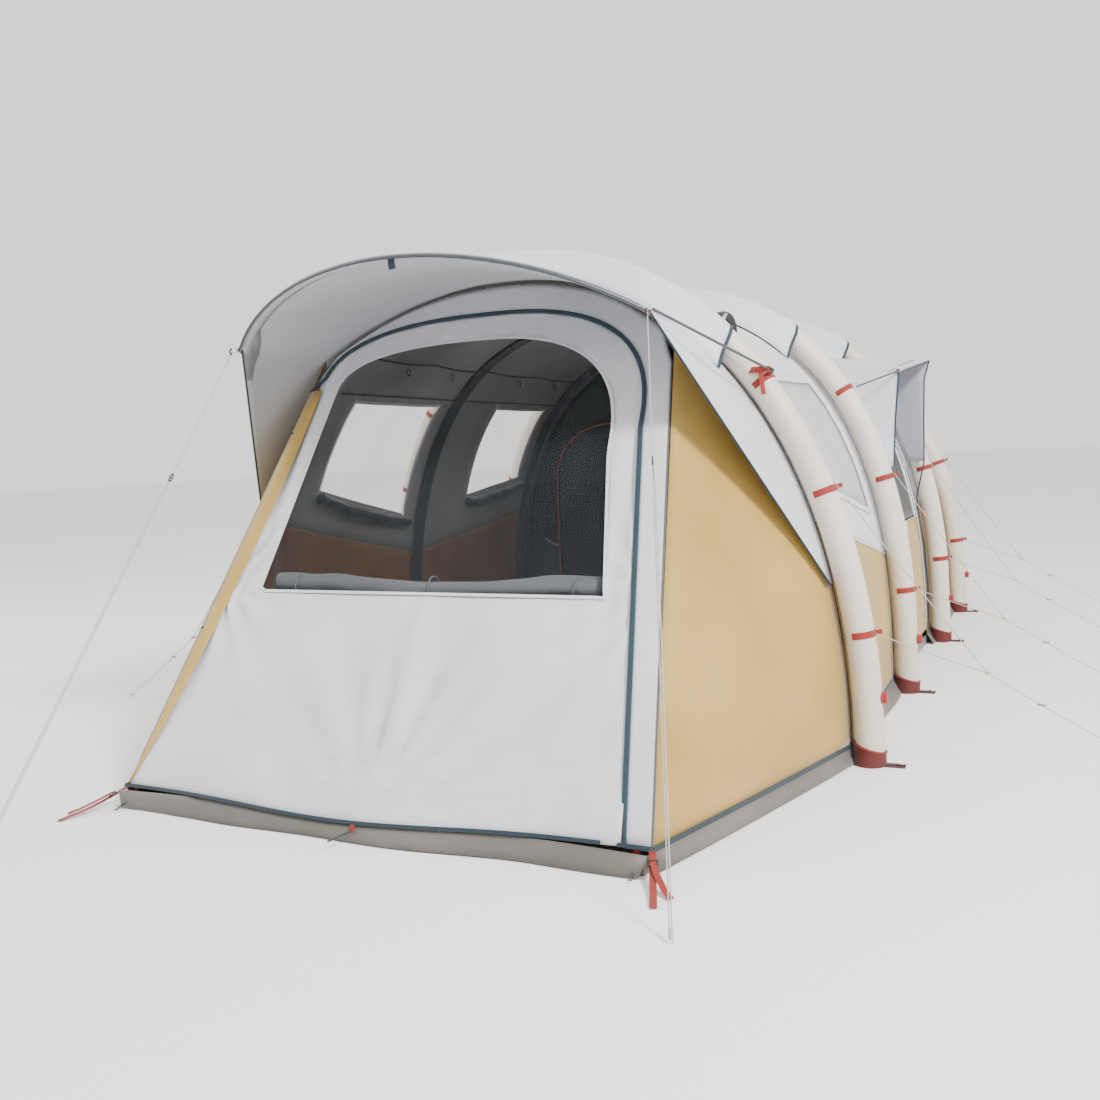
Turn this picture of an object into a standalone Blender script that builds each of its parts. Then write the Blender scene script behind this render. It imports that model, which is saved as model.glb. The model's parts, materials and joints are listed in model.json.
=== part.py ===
"""Family tunnel tent on four air-filled arches, with a hooded front door, a side door under a
dormer awning, a groundsheet tray and an inner bedroom compartment behind the third arch.

The frame: +X is the right side seen from the front door, -Y is the front, +Z is up, and the
origin is on the ground under the middle of the tent. All sizes are metres.
"""
import math

import bmesh
import bpy
from mathutils import Matrix, Vector

# ---------------------------------------------------------------- driving dimensions
TENT_LENGTH = 6.30
FRONT_Y = -TENT_LENGTH / 2
REAR_Y = TENT_LENGTH / 2
ARCH_Y = [FRONT_Y + distance for distance in (1.37, 2.70, 4.18, 5.41)]
# section of each arch along its tube's middle: half width, height and the superellipse's power
ARCH_SECTION = [(1.510, 2.095, 2.2), (1.490, 2.080, 2.6), (1.515, 2.080, 2.65), (1.520, 2.060, 2.4)]
TUBE_RADIUS = 0.058
TUBE_BASE = 0.0045
CAP_HEIGHT = 0.090
ARCH_STEPS = 28

FABRIC = 0.003
PANE = 0.002
SEAM_GAP = 0.001
FABRIC_INSET = TUBE_RADIUS + 0.008
HEM_HEIGHT = 0.065
TRAY_HEIGHT = 0.055

FRONT_LEAN = 0.66
REAR_LEAN = 0.42
WALL_HALF_WIDTH = 1.07
WALL_TAPER = 0.145
WALL_TOP_WIDTH = 0.82
WALL_INSET = FABRIC_INSET + 0.022
SIDE_INSET = FABRIC_INSET + 0.014

# height of the seam between the lower and the upper fabric at each arch
BORDER = [0.97, 0.70, 0.86, 0.92]

HOOD_CORNER = Vector((0.895, FRONT_Y + 0.643, 1.756))
HOOD_APEX = Vector((0.0, FRONT_Y + 0.357, 1.990))
HOOD_LOW_HEIGHT = 0.72
HOOD_TURN_HEIGHT = 1.68
POLE_RADIUS = 0.0055
POLE_CLEARANCE = 0.010

SIDE_DOOR_Y = (FRONT_Y + 3.25, FRONT_Y + 4.03)
SIDE_DOOR_Z = (0.10, 1.45)
BEDROOM_Y = ARCH_Y[2] + 0.05
BEDROOM_INSET = FABRIC_INSET + 0.050

CORD_RADIUS = 0.002
GUY_UPPER = 1.08
GUY_LOWER = 0.52
GUY_RING = Vector((1.945, 0.0, 0.385))
GUY_END = Vector((2.560, 0.13, 0.006))
FRONT_GUY_END = Vector((1.270, FRONT_Y - 0.393, 0.006))

VALVE_HEIGHT = 0.27
VALVE_RADIUS = 0.021
VALVE_DEPTH = 0.012
CAP_THICKNESS = 0.008

# ---------------------------------------------------------------- materials
COLOURS = {
    "air_tube": ((0.79, 0.74, 0.68), 0.45),
    "white_fabric": ((0.70, 0.70, 0.73), 0.75),
    "beige_fabric": ((0.57, 0.43, 0.22), 0.80),
    "red_fabric": ((0.38, 0.02, 0.01), 0.70),
    "teal_trim": ((0.01, 0.08, 0.12), 0.60),
    "grey_sheet": ((0.23, 0.21, 0.19), 0.85),
    "clear_film": ((0.60, 0.62, 0.64), 0.10),
    "curtain_grey": ((0.26, 0.26, 0.28), 0.85),
    "black_fabric": ((0.015, 0.015, 0.018), 0.90),
    "dark_mesh": ((0.03, 0.03, 0.035), 0.90),
    "pole_grey": ((0.05, 0.05, 0.055), 0.40),
    "cord_grey": ((0.62, 0.62, 0.60), 0.70),
}


def material(name):
    """One Principled material per finish, made the first time it is asked for."""
    found = bpy.data.materials.get(name)
    if found:
        return found
    colour, roughness = COLOURS[name]
    made = bpy.data.materials.new(name)
    made.use_nodes = True
    shader = made.node_tree.nodes["Principled BSDF"]
    shader.inputs["Base Color"].default_value = (*colour, 1.0)
    shader.inputs["Roughness"].default_value = roughness
    shader.inputs["Metallic"].default_value = 0.0
    return made


# ---------------------------------------------------------------- making objects
def clear_scene():
    for thing in list(bpy.data.objects):
        bpy.data.objects.remove(thing, do_unlink=True)


def place(name, mesh, finish, origin=(0, 0, 0)):
    """Link a mesh given in tent coordinates as an object whose origin is at `origin`."""
    mesh.name = name
    mesh.transform(Matrix.Translation(-Vector(origin)))
    if finish:
        mesh.materials.clear()
        mesh.materials.append(material(finish))
    thing = bpy.data.objects.new(name, mesh)
    thing.location = origin
    bpy.context.scene.collection.objects.link(thing)
    return thing


def mesh_from(vertices, faces):
    mesh = bpy.data.meshes.new("mesh")
    work = bmesh.new()
    made = [work.verts.new(point) for point in vertices]
    for face in faces:
        work.faces.new([made[index] for index in face])
    bmesh.ops.recalc_face_normals(work, faces=work.faces)
    work.to_mesh(mesh)
    work.free()
    return mesh


def grid_normal(rows, r, c):
    """Normal of a grid of points at one of them, from its neighbours."""
    last_row = len(rows) - 1
    last_column = len(rows[0]) - 1
    along = rows[min(r + 1, last_row)][c] - rows[max(r - 1, 0)][c]
    across = rows[r][min(c + 1, last_column)] - rows[r][max(c - 1, 0)]
    return across.cross(along).normalized()


def sheet(name, rows, finish, keep=None, thickness=FABRIC, origin=(0, 0, 0)):
    """Thin closed solid on a grid of points: the grid is its outer face, and the solid lies on the
    other side from the normal across x along. `keep(row, column)` says which cells are there."""
    height = len(rows)
    width = len(rows[0])
    inner = [[rows[r][c] - grid_normal(rows, r, c) * thickness for c in range(width)]
             for r in range(height)]
    cells = [(r, c) for r in range(height - 1) for c in range(width - 1)
             if keep is None or keep(r, c)]
    filled = set(cells)
    outer_index = {}
    vertices = []

    def index(r, c, layer):
        key = (r, c, layer)
        if key not in outer_index:
            outer_index[key] = len(vertices)
            vertices.append(inner[r][c] if layer else rows[r][c])
        return outer_index[key]

    faces = []
    for r, c in cells:
        ring = [(r, c), (r, c + 1), (r + 1, c + 1), (r + 1, c)]
        # both faces split along the same diagonal, so a twisted cell keeps its thickness
        for half in ((0, 1, 2), (0, 2, 3)):
            faces.append([index(*ring[i], 0) for i in half])
            faces.append([index(*ring[i], 1) for i in reversed(half)])
        edges = [((r - 1, c), ring[0], ring[1]), ((r, c + 1), ring[1], ring[2]),
                 ((r + 1, c), ring[2], ring[3]), ((r, c - 1), ring[3], ring[0])]
        for neighbour, start, end in edges:
            if neighbour not in filled:
                faces.append([index(*end, 0), index(*start, 0), index(*start, 1), index(*end, 1)])
    return place(name, mesh_from(vertices, faces), finish, origin)


def plate(name, outline, normal, finish, holes=None, thickness=FABRIC, origin=(0, 0, 0)):
    """Flat plate: a closed outline with an optional hole of the same number of points. The given
    points are on the outer face, which looks along `normal`."""
    depth = -Vector(normal).normalized() * thickness
    count = len(outline)
    front = [Vector(point) for point in outline]
    back = [point + depth for point in front]
    vertices = front + back
    if holes is None:
        faces = [list(range(count)), list(range(2 * count - 1, count - 1, -1))]
        for i in range(count):
            j = (i + 1) % count
            faces.append([i, count + i, count + j, j])
    else:
        hole = [Vector(point) for point in holes]
        vertices += hole + [point + depth for point in hole]
        faces = []
        for i in range(count):
            j = (i + 1) % count
            faces.append([i, j, 2 * count + j, 2 * count + i])
            faces.append([count + j, count + i, 3 * count + i, 3 * count + j])
            faces.append([j, i, count + i, count + j])
            faces.append([2 * count + i, 2 * count + j, 3 * count + j, 3 * count + i])
    return place(name, mesh_from(vertices, faces), finish, origin)


def tube(name, points, radius, finish, resolution=2, origin=(0, 0, 0)):
    """Round tube through the points, as a bevelled poly curve with filled caps."""
    curve = bpy.data.curves.new(name, "CURVE")
    curve.dimensions = "3D"
    curve.bevel_depth = radius
    curve.bevel_resolution = resolution
    curve.use_fill_caps = True
    spline = curve.splines.new("POLY")
    spline.points.add(len(points) - 1)
    base = Vector(origin)
    for slot, point in zip(spline.points, points):
        slot.co = (*(Vector(point) - base), 1.0)
    curve.materials.append(material(finish))
    thing = bpy.data.objects.new(name, curve)
    thing.location = origin
    bpy.context.scene.collection.objects.link(thing)
    return thing


def cylinder_mesh(start, end, radius, sides=16):
    """Closed cylinder between two points."""
    axis = Vector(end) - Vector(start)
    work = bmesh.new()
    bmesh.ops.create_cone(work, cap_ends=True, segments=sides, radius1=radius, radius2=radius,
                          depth=axis.length)
    turn = Vector((0, 0, 1)).rotation_difference(axis).to_matrix().to_4x4()
    middle = Matrix.Translation((Vector(start) + Vector(end)) / 2)
    bmesh.ops.transform(work, matrix=middle @ turn, verts=work.verts)
    mesh = bpy.data.meshes.new("cylinder")
    work.to_mesh(mesh)
    work.free()
    return mesh


def box_mesh(low, high):
    work = bmesh.new()
    bmesh.ops.create_cube(work, size=1.0)
    size = Vector(high) - Vector(low)
    middle = (Vector(high) + Vector(low)) / 2
    bmesh.ops.scale(work, vec=size, verts=work.verts)
    bmesh.ops.translate(work, vec=middle, verts=work.verts)
    mesh = bpy.data.meshes.new("box")
    work.to_mesh(mesh)
    work.free()
    return mesh


def joined(thing, others, operation="UNION"):
    """Apply a Boolean of each other object to `thing`, then remove the other objects."""
    for other in others:
        modifier = thing.modifiers.new(operation, "BOOLEAN")
        modifier.operation = operation
        modifier.object = other
    bpy.context.view_layer.update()
    evaluated = thing.evaluated_get(bpy.context.evaluated_depsgraph_get())
    mesh = bpy.data.meshes.new_from_object(evaluated)
    name = thing.name
    origin = thing.location.copy()
    finish = mesh.materials[0].name
    for old in [thing, *others]:
        bpy.data.objects.remove(old, do_unlink=True)
    mesh.transform(Matrix.Translation(origin))
    return place(name, mesh, finish, origin)


def smooth(thing, angle=40.0):
    if thing.type == "MESH":
        thing.data.shade_smooth()
        thing.data.set_sharp_from_angle(angle=math.radians(angle))
    return thing


# ---------------------------------------------------------------- curves that the tent follows
def section(y):
    """Half width, height and power of the tunnel's section at y, straight from arch to arch."""
    place_y = min(max(y, ARCH_Y[0]), ARCH_Y[3])
    k = 0
    while k < 2 and place_y > ARCH_Y[k + 1]:
        k += 1
    share = (place_y - ARCH_Y[k]) / (ARCH_Y[k + 1] - ARCH_Y[k])
    return [a + share * (b - a) for a, b in zip(ARCH_SECTION[k], ARCH_SECTION[k + 1])]


def arch_xz(turn, y, inset=0.0):
    """Point of the section at y, a superellipse, at turn 0 (right foot) to 1 (left foot)."""
    half_width, height, power = section(y)
    angle = math.pi * min(max(turn, 0.0), 1.0)
    across = math.cos(angle)
    x = (half_width - inset) * math.copysign(abs(across) ** (2.0 / power), across)
    z = (height - inset) * max(math.sin(angle), 0.0) ** (2.0 / power)
    return x, z


def turn_at(level, y, inset=FABRIC_INSET):
    """Turn on the right half at which the section at y reaches a height."""
    _, height, power = section(y)
    ratio = min(level / (height - inset), 1.0)
    return math.asin(ratio ** (power / 2.0)) / math.pi


def skin(turn, y, inset=FABRIC_INSET):
    x, z = arch_xz(turn, y, inset)
    return Vector((x, y, z))


def skin_at(level, y, inset=FABRIC_INSET):
    """Point of the right wall's outer face at a height."""
    return skin(turn_at(level, y, inset), y, inset)


def border_height(y):
    """Height of the seam between lower and upper fabric, straight from arch to arch."""
    if y <= ARCH_Y[0]:
        return BORDER[0]
    for k in range(3):
        if y <= ARCH_Y[k + 1]:
            share = (y - ARCH_Y[k]) / (ARCH_Y[k + 1] - ARCH_Y[k])
            return BORDER[k] + share * (BORDER[k + 1] - BORDER[k])
    return BORDER[3]


def wall_x(z):
    """Half width of the sloping end walls at a height."""
    return WALL_HALF_WIDTH - WALL_TAPER * (z - HEM_HEIGHT)


def on_front(x, z, lift=0.0):
    """Point on the front wall's plane, `lift` metres out of it towards the front."""
    out = Vector((0, -1, FRONT_LEAN)).normalized()
    return Vector((x, FRONT_Y + FRONT_LEAN * z, z)) + out * lift


def superquarter(centre, radii, start, end, steps, power=0.8):
    """Points of a superelliptic arc from angle start to end, in degrees."""
    points = []
    for i in range(steps + 1):
        angle = math.radians(start + (end - start) * i / steps)
        c = math.cos(angle)
        s = math.sin(angle)
        points.append((centre[0] + radii[0] * math.copysign(abs(c) ** power, c),
                       centre[1] + radii[1] * math.copysign(abs(s) ** power, s)))
    return points


def straight(start, end, steps):
    """Points from start to end, without the last."""
    return [(start[0] + (end[0] - start[0]) * i / steps, start[1] + (end[1] - start[1]) * i / steps)
            for i in range(steps)]


def even(points, count, closed=False):
    """The same path as `count` evenly spaced points."""
    path = [Vector(point) for point in points]
    if closed:
        path.append(path[0])
    lengths = [0.0]
    for a, b in zip(path, path[1:]):
        lengths.append(lengths[-1] + (b - a).length)
    total = lengths[-1]
    spaces = count if closed else count - 1
    result = []
    k = 0
    for i in range(count):
        target = total * i / spaces
        while k < len(path) - 2 and lengths[k + 1] < target:
            k += 1
        share = (target - lengths[k]) / (lengths[k + 1] - lengths[k])
        result.append(path[k].lerp(path[k + 1], min(share, 1.0)))
    return result


def hood_pole_points(count):
    """The bent pole at the hood's front: an arc through both corners and the apex."""
    chord = (HOOD_CORNER + Vector((-HOOD_CORNER.x, HOOD_CORNER.y, HOOD_CORNER.z))) / 2
    rise = HOOD_APEX - chord
    half = HOOD_CORNER.x
    radius = (half ** 2 + rise.length ** 2) / (2 * rise.length)
    centre = chord + rise.normalized() * (rise.length - radius)
    reach = math.asin(half / radius)
    points = []
    for i in range(count):
        angle = reach * (1 - 2 * i / (count - 1))
        across = Vector((1, 0, 0)) * math.sin(angle)
        up = rise.normalized() * math.cos(angle)
        points.append(centre + radius * (across + up))
    return points


# ---------------------------------------------------------------- frame
def air_arches():
    for k, y in enumerate(ARCH_Y, start=1):
        foot = section(y)[0]
        leg = [Vector((foot, y, z)) for z in (TUBE_BASE, CAP_HEIGHT + 0.01)]
        points = list(leg)
        for i in range(1, ARCH_STEPS):
            x, z = arch_xz(i / ARCH_STEPS, y)
            points.append(Vector((x, y, z)))
        points += [Vector((-p.x, p.y, p.z)) for p in reversed(leg)]
        arch = tube(f"air_arch_{k}", points, TUBE_RADIUS, "air_tube", resolution=4)
        face = valve_face(y)
        seat = place("seat", cylinder_mesh((face - 0.03, y, VALVE_HEIGHT),
                                           (face + VALVE_DEPTH, y, VALVE_HEIGHT), VALVE_RADIUS),
                     "air_tube")
        arch = as_mesh(arch)
        smooth(joined(arch, [seat]))
        valve_cap(k, y)


def as_mesh(thing):
    """Turn a curve object into a mesh object of the same name and place."""
    evaluated = thing.evaluated_get(bpy.context.evaluated_depsgraph_get())
    mesh = bpy.data.meshes.new_from_object(evaluated)
    name = thing.name
    finish = mesh.materials[0].name
    bpy.data.objects.remove(thing, do_unlink=True)
    return place(name, mesh, finish)


def valve_face(y):
    """Outer side of the right leg at the valve's height."""
    return skin_at(VALVE_HEIGHT, y, 0.0).x + TUBE_RADIUS - 0.002


def valve_cap(k, y):
    """Round cap on the inflation valve, hinged at its upper edge."""
    start = valve_face(y) + VALVE_DEPTH + 0.0004
    hinge = Vector((start, y, VALVE_HEIGHT + VALVE_RADIUS))
    mesh = cylinder_mesh((start, y, VALVE_HEIGHT), (start + CAP_THICKNESS, y, VALVE_HEIGHT),
                         VALVE_RADIUS, sides=20)
    smooth(place(f"valve_cap_{k}", mesh, "red_fabric", hinge))


def foot_caps():
    """Cup under each end of each arch, with a tongue for its stake."""
    outer = TUBE_RADIUS + 0.005
    inner = TUBE_RADIUS + 0.001
    for side, sign in (("right", 1), ("left", -1)):
        for k, y in enumerate(ARCH_Y, start=1):
            x = sign * section(y)[0]
            cup = place(f"foot_cap_{side}_{k}", cylinder_mesh((x, y, 0), (x, y, CAP_HEIGHT), outer, 24),
                        "red_fabric")
            hollow = place("hollow", cylinder_mesh((x, y, 0.004), (x, y, 0.12), inner, 24),
                           "red_fabric")
            slope = place("slope", box_mesh((x - 0.12, y - 0.1, 0.09), (x + 0.12, y + 0.1, 0.2)),
                          "red_fabric")
            slope.data.transform(Matrix.Translation((-x, -y, -0.09)))
            slope.data.transform(Matrix.Rotation(sign * math.radians(17.0), 4, "Y"))
            slope.data.transform(Matrix.Translation((x, y, 0.075)))
            low = min(x + sign * 0.045, x + sign * 0.135)
            high = max(x + sign * 0.045, x + sign * 0.135)
            tongue = place("tongue", box_mesh((low, y - 0.027, 0), (high, y + 0.027, 0.0035)),
                           "red_fabric")
            cup = joined(cup, [hollow, slope], "DIFFERENCE")
            smooth(joined(cup, [tongue]), 30.0)


def poles():
    tube("hood_pole", hood_pole_points(25), POLE_RADIUS, "pole_grey")
    grip = skin_at(1.53, ARCH_Y[0], 0.0) + Vector((0.052, -0.052, 0.040))
    start = HOOD_CORNER + Vector((0.018, 0.012, 0.004))
    for side, sign in (("right", 1), ("left", -1)):
        ends = [Vector((sign * point.x, point.y, point.z)) for point in (start, grip)]
        tube(f"hood_strut_{side}", [ends[0].lerp(ends[1], i / 6) for i in range(7)],
             POLE_RADIUS, "pole_grey")
    edge = [corner + Vector((-0.016, 0, -0.018)) for corner in awning_edge()]
    edge[0].y += 0.012
    edge[-1].y -= 0.012
    tube("awning_pole", edge, 0.0045, "pole_grey")
    start = skin_at(1.50, ARCH_Y[1], 0.0) + Vector((0.054, 0.040, 0.046))
    end = awning_edge()[0] + Vector((0.004, -0.022, 0.006))
    tube("awning_strut", [start.lerp(end, i / 4) for i in range(5)], 0.0045, "pole_grey")


# ---------------------------------------------------------------- lower skin and groundsheet
def tray_outline(inset):
    """Outline of the groundsheet on the ground, counter-clockwise from the front right corner."""
    front = WALL_HALF_WIDTH - 0.012 - inset
    right = [(front, FRONT_Y + 0.006)]
    right += [(section(y)[0] - FABRIC_INSET - FABRIC - inset, y) for y in ARCH_Y]
    right += [(front, REAR_Y - 0.006)]
    left = [(-x, y) for x, y in reversed(right)]
    return right + left


def groundsheet():
    """Tray with a thin floor and a low upright edge all round."""
    work = bmesh.new()
    ring = [work.verts.new((x, y, 0.0)) for x, y in tray_outline(0.006)]
    floor = work.faces.new(ring)
    top = bmesh.ops.extrude_face_region(work, geom=[floor])
    raised = [item for item in top["geom"] if isinstance(item, bmesh.types.BMVert)]
    bmesh.ops.translate(work, vec=(0, 0, TRAY_HEIGHT), verts=raised)
    lid = [item for item in top["geom"] if isinstance(item, bmesh.types.BMFace)][0]
    bmesh.ops.inset_region(work, faces=[lid], thickness=FABRIC, use_even_offset=True)
    sunk = bmesh.ops.extrude_face_region(work, geom=[lid])
    work.faces.remove(lid)
    lowered = [item for item in sunk["geom"] if isinstance(item, bmesh.types.BMVert)]
    bmesh.ops.translate(work, vec=(0, 0, FABRIC - TRAY_HEIGHT), verts=lowered)
    bmesh.ops.recalc_face_normals(work, faces=work.faces)
    mesh = bpy.data.meshes.new("groundsheet")
    work.to_mesh(mesh)
    work.free()
    place("groundsheet", mesh, "grey_sheet")


def bay_rows(heights, columns, side):
    """Grid over one bay's side, from the hem up. A height may be a number or a function of y."""
    rows = []
    for height in heights:
        row = []
        for y in columns:
            z = height(y) if callable(height) else height
            point = skin_at(z, y)
            row.append(Vector((side * point.x, point.y, point.z)))
        rows.append(row)
    return rows if side < 0 else [list(reversed(row)) for row in rows]


def lower_walls():
    def top(y):
        return border_height(y) - SEAM_GAP

    for k in range(3):
        start = ARCH_Y[k] + SEAM_GAP
        end = ARCH_Y[k + 1] - SEAM_GAP
        for side, sign in (("right", 1), ("left", -1)):
            stop = SIDE_DOOR_Y[0] - SEAM_GAP if (k == 1 and sign > 0) else end
            columns = [start, (start + stop) / 2, stop]
            heights = [HEM_HEIGHT, lambda y: 0.40 * top(y), lambda y: 0.72 * top(y), top]
            sheet(f"side_wall_{side}_{k + 1}", bay_rows(heights, columns, sign), "beige_fabric")


# ---------------------------------------------------------------- roof bays
def roof_bay(k, window_sides):
    """Upper fabric of one bay, from border to border over the top, with its window openings."""
    start = ARCH_Y[k] + SEAM_GAP
    end = ARCH_Y[k + 1] - SEAM_GAP
    if k == 1:
        columns = [start, SIDE_DOOR_Y[0] - 0.5, SIDE_DOOR_Y[0], SIDE_DOOR_Y[1], end]
    else:
        columns = [start, start + 0.22, end - 0.17, end]
    upper = [1.03, 1.18, 1.32, 1.45, 1.58, 1.72, 1.84, 1.93]
    middle = [0.455, 0.5, 0.545]

    def level_row(level, mirrored):
        points = [skin_at(level(y) if callable(level) else level, y) for y in columns]
        return [Vector((-p.x, p.y, p.z)) for p in points] if mirrored else points

    def border(y):
        return border_height(y) + SEAM_GAP

    levels = [border] + upper
    rows = [level_row(level, False) for level in levels]
    rows += [[skin(turn, y) for y in columns] for turn in middle]
    rows += [level_row(level, True) for level in reversed(levels)]
    if k == 1:
        rows.insert(0, level_row(HEM_HEIGHT, False))
    offset = 1 if k == 1 else 0
    first_window = 1 + offset
    last_window = first_window + 3
    window_cells = set()
    count = len(rows) - 1
    for side in window_sides:
        for r in range(first_window, last_window + 1):
            place_row = r if side == "right" else count - 1 - (r - offset)
            window_cells.add((place_row, 2 if k == 1 else 1))
    if k == 1:
        for r in range(0, 5):
            window_cells.add((r, 2))
        window_cells.add((0, 0))
        window_cells.add((0, 1))

    sheet(f"roof_{k + 1}", rows, "white_fabric", keep=lambda r, c: (r, c) not in window_cells)


def side_panes():
    """Window panes set in the openings of the roof bays."""
    heights = [1.03, 1.18, 1.32, 1.45, 1.58]
    gap = 0.002
    spots = [("side_window_right_1", 1, ARCH_Y[0] + 0.22, ARCH_Y[1] - 0.17),
             ("side_window_left_1", -1, ARCH_Y[0] + 0.22, ARCH_Y[1] - 0.17),
             ("side_window_left_2", -1, SIDE_DOOR_Y[0], SIDE_DOOR_Y[1])]
    for name, side, low, high in spots:
        levels = list(heights)
        levels[0] += gap
        levels[-1] -= gap
        rows = bay_rows(levels, [low + gap, (low + high) / 2, high - gap], side)
        sheet(name, rows, "clear_film", thickness=PANE)


def side_door():
    """Door leaf in the right wall of the second bay, hinged on its rear edge."""
    gap = 0.003
    low, high = SIDE_DOOR_Y
    ys = [low + gap, low + 0.14, high - 0.14, high - gap]
    heights = [SIDE_DOOR_Z[0] + gap, 0.40, 0.72, 0.98, 1.25, SIDE_DOOR_Z[1] - gap]
    axis = skin_at(SIDE_DOOR_Z[0], high)
    rows = bay_rows(heights, ys, 1)
    sheet("side_door", rows, "white_fabric", keep=lambda r, c: not (c == 1 and r in (2, 3)),
          origin=axis)
    pane = bay_rows([0.72 + gap, 0.98, 1.25 - gap], [low + 0.14 + gap, high - 0.14 - gap], 1)
    sheet("side_door_window", pane, "dark_mesh", thickness=PANE, origin=axis)


def awning_edge():
    """Outer edge of the dormer awning, from its front corner to its peak."""
    base = FRONT_Y
    return [Vector((1.415, base + 3.10, 1.625)), Vector((1.430, base + 3.43, 1.662)),
            Vector((1.450, base + 3.77, 1.700)), Vector((1.470, base + 4.08, 1.738))]


def side_awning():
    """Roof extension over the side door, with a gusset at each end."""
    front = FRONT_Y + 3.03
    rear = FRONT_Y + 4.11
    edge = awning_edge()
    drop = [Vector((1.385, FRONT_Y + 3.10, 1.13)), Vector((1.395, FRONT_Y + 3.10, 1.36))]
    fall = [Vector((1.440, FRONT_Y + 4.08, 1.630)), Vector((1.435, FRONT_Y + 4.08, 1.38)),
            Vector((1.435, FRONT_Y + 4.08, 1.13))]
    outer = drop + edge + fall
    inner = [(1.13, front), (1.38, front), (1.62, front), (1.70, front + 0.30),
             (1.77, rear - 0.34), (1.79, rear), (1.60, rear), (1.38, rear), (1.13, rear)]
    rows = []
    clear = FABRIC_INSET - FABRIC - 0.018
    for tip, (height, y) in zip(outer, inner):
        root = skin_at(height, y, clear)
        rows.append([tip, tip.lerp(root, 0.5), root])
    sheet("side_awning", rows, "white_fabric")


# ---------------------------------------------------------------- front
def wall_outline():
    """Half outline of an end wall from the hem to the top, as (x, z), right side."""
    side = straight((wall_x(HEM_HEIGHT), HEM_HEIGHT), (WALL_TOP_WIDTH, 1.745), 8)
    reach = turn_at(1.745, ARCH_Y[0], WALL_INSET)
    arc = [arch_xz(reach + (0.5 - reach) * i / 8, ARCH_Y[0], WALL_INSET) for i in range(9)]
    return side + arc


def door_outline():
    """Right and upper edge of the front door, from the hem at the right to the left seam."""
    right = straight((0.975, HEM_HEIGHT), (0.765, 1.36), 6)
    arch_right = superquarter((-0.03, 1.36), (0.795, 0.52), 0, 90, 8)
    arch_left = superquarter((-0.03, 1.60), (0.765, 0.28), 90, 180, 7)
    return right + arch_right + arch_left[1:]


def window_outline():
    """Closed outline of the front window, counter-clockwise from the lower right."""
    right = straight((0.752, 0.770), (0.655, 1.27), 3)
    arch_right = superquarter((-0.05, 1.27), (0.705, 0.50), 0, 90, 6)
    arch_left = superquarter((-0.05, 1.58), (0.660, 0.19), 90, 180, 5)
    left = straight((-0.710, 1.58), (-0.755, 0.770), 3)
    bottom = straight((-0.755, 0.770), (0.752, 0.770), 5)
    return right + arch_right + arch_left[1:-1] + left + bottom


def front_end():
    """Front wall band, and the door with its window and rolled curtain."""
    normal = Vector((0, -1, FRONT_LEAN))
    half = wall_outline()
    outer = half + [(-x, z) for x, z in reversed(half[:-1])]
    left_seam = -wall_x(1.60)
    upper = [point for point in outer if not (point[0] < 0 and point[1] < 1.60)]
    upper.append((left_seam, 1.60))
    door = door_outline()
    outside = even(upper, 30)
    inside = even([(x, z) for x, z in door], 30)
    inside[-1] = Vector((left_seam, 1.585))
    band = [on_front(*point) for point in outside]
    band += [on_front(point.x + 0.002, point.y + 0.002) for point in reversed(inside)]
    strip("front_surround", band[:30], list(reversed(band[30:])), normal,
                           "white_fabric")
    seam = [(-wall_x(1.575) + 0.001, 1.575), (-wall_x(HEM_HEIGHT) + 0.001, HEM_HEIGHT)]
    bottom = straight(seam[1], (0.972, HEM_HEIGHT), 6)
    leaf = toward_middle(inside[:-1], Vector((0.0, 1.0)), 0.004)
    leaf += straight(seam[0], seam[1], 8) + bottom
    count = 56
    frame = even(leaf, count, closed=True)
    glass = even(window_outline(), count, closed=True)
    glass = turned_to_match(frame, glass)
    axis = on_front(*seam[1])
    plate("front_door", [on_front(*p) for p in frame], normal, "white_fabric",
          holes=[on_front(*p) for p in glass], origin=axis)
    small = toward_middle(glass, Vector((-0.02, 1.25)), 0.006)
    plate("front_window", [on_front(*point) for point in small], normal, "clear_film",
          thickness=0.001, origin=axis)
    roll = [on_front(-0.74 + 1.47 * i / 12, 0.800 - 0.012 * math.sin(math.pi * i / 12), -0.050)
            for i in range(13)]
    tube("front_curtain", roll, 0.036, "curtain_grey", origin=axis)


def toward_middle(points, middle, distance):
    """The points moved a small distance towards a middle point."""
    return [point + (middle - point).normalized() * distance for point in map(Vector, points)]


def turned_to_match(frame, inner):
    """Start the inner loop at the point that lies nearest the outer loop's start, seen from the
    middle, so that the two loops join without a twist."""
    middle = sum(inner, Vector((0, 0))) / len(inner)

    def bearing(point):
        return math.atan2(point.y - middle.y, point.x - middle.x)

    target = bearing(frame[0])
    best = min(range(len(inner)),
               key=lambda i: abs(math.remainder(bearing(inner[i]) - target, 2 * math.pi)))
    return inner[best:] + inner[:best]


def strip(name, outer, inner, normal, finish, thickness=FABRIC):
    """Flat band between two open lines with the same number of points."""
    depth = -Vector(normal).normalized() * thickness
    count = len(outer)
    vertices = outer + inner + [p + depth for p in outer] + [p + depth for p in inner]
    faces = []
    for i in range(count - 1):
        j = i + 1
        faces.append([i, j, count + j, count + i])
        faces.append([2 * count + j, 2 * count + i, 3 * count + i, 3 * count + j])
        faces.append([j, i, 2 * count + i, 2 * count + j])
        faces.append([count + i, count + j, 3 * count + j, 3 * count + i])
    faces.append([0, count, 3 * count, 2 * count])
    last = count - 1
    faces.append([count + last, last, 2 * count + last, 3 * count + last])
    return place(name, mesh_from(vertices, faces), finish)


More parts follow.
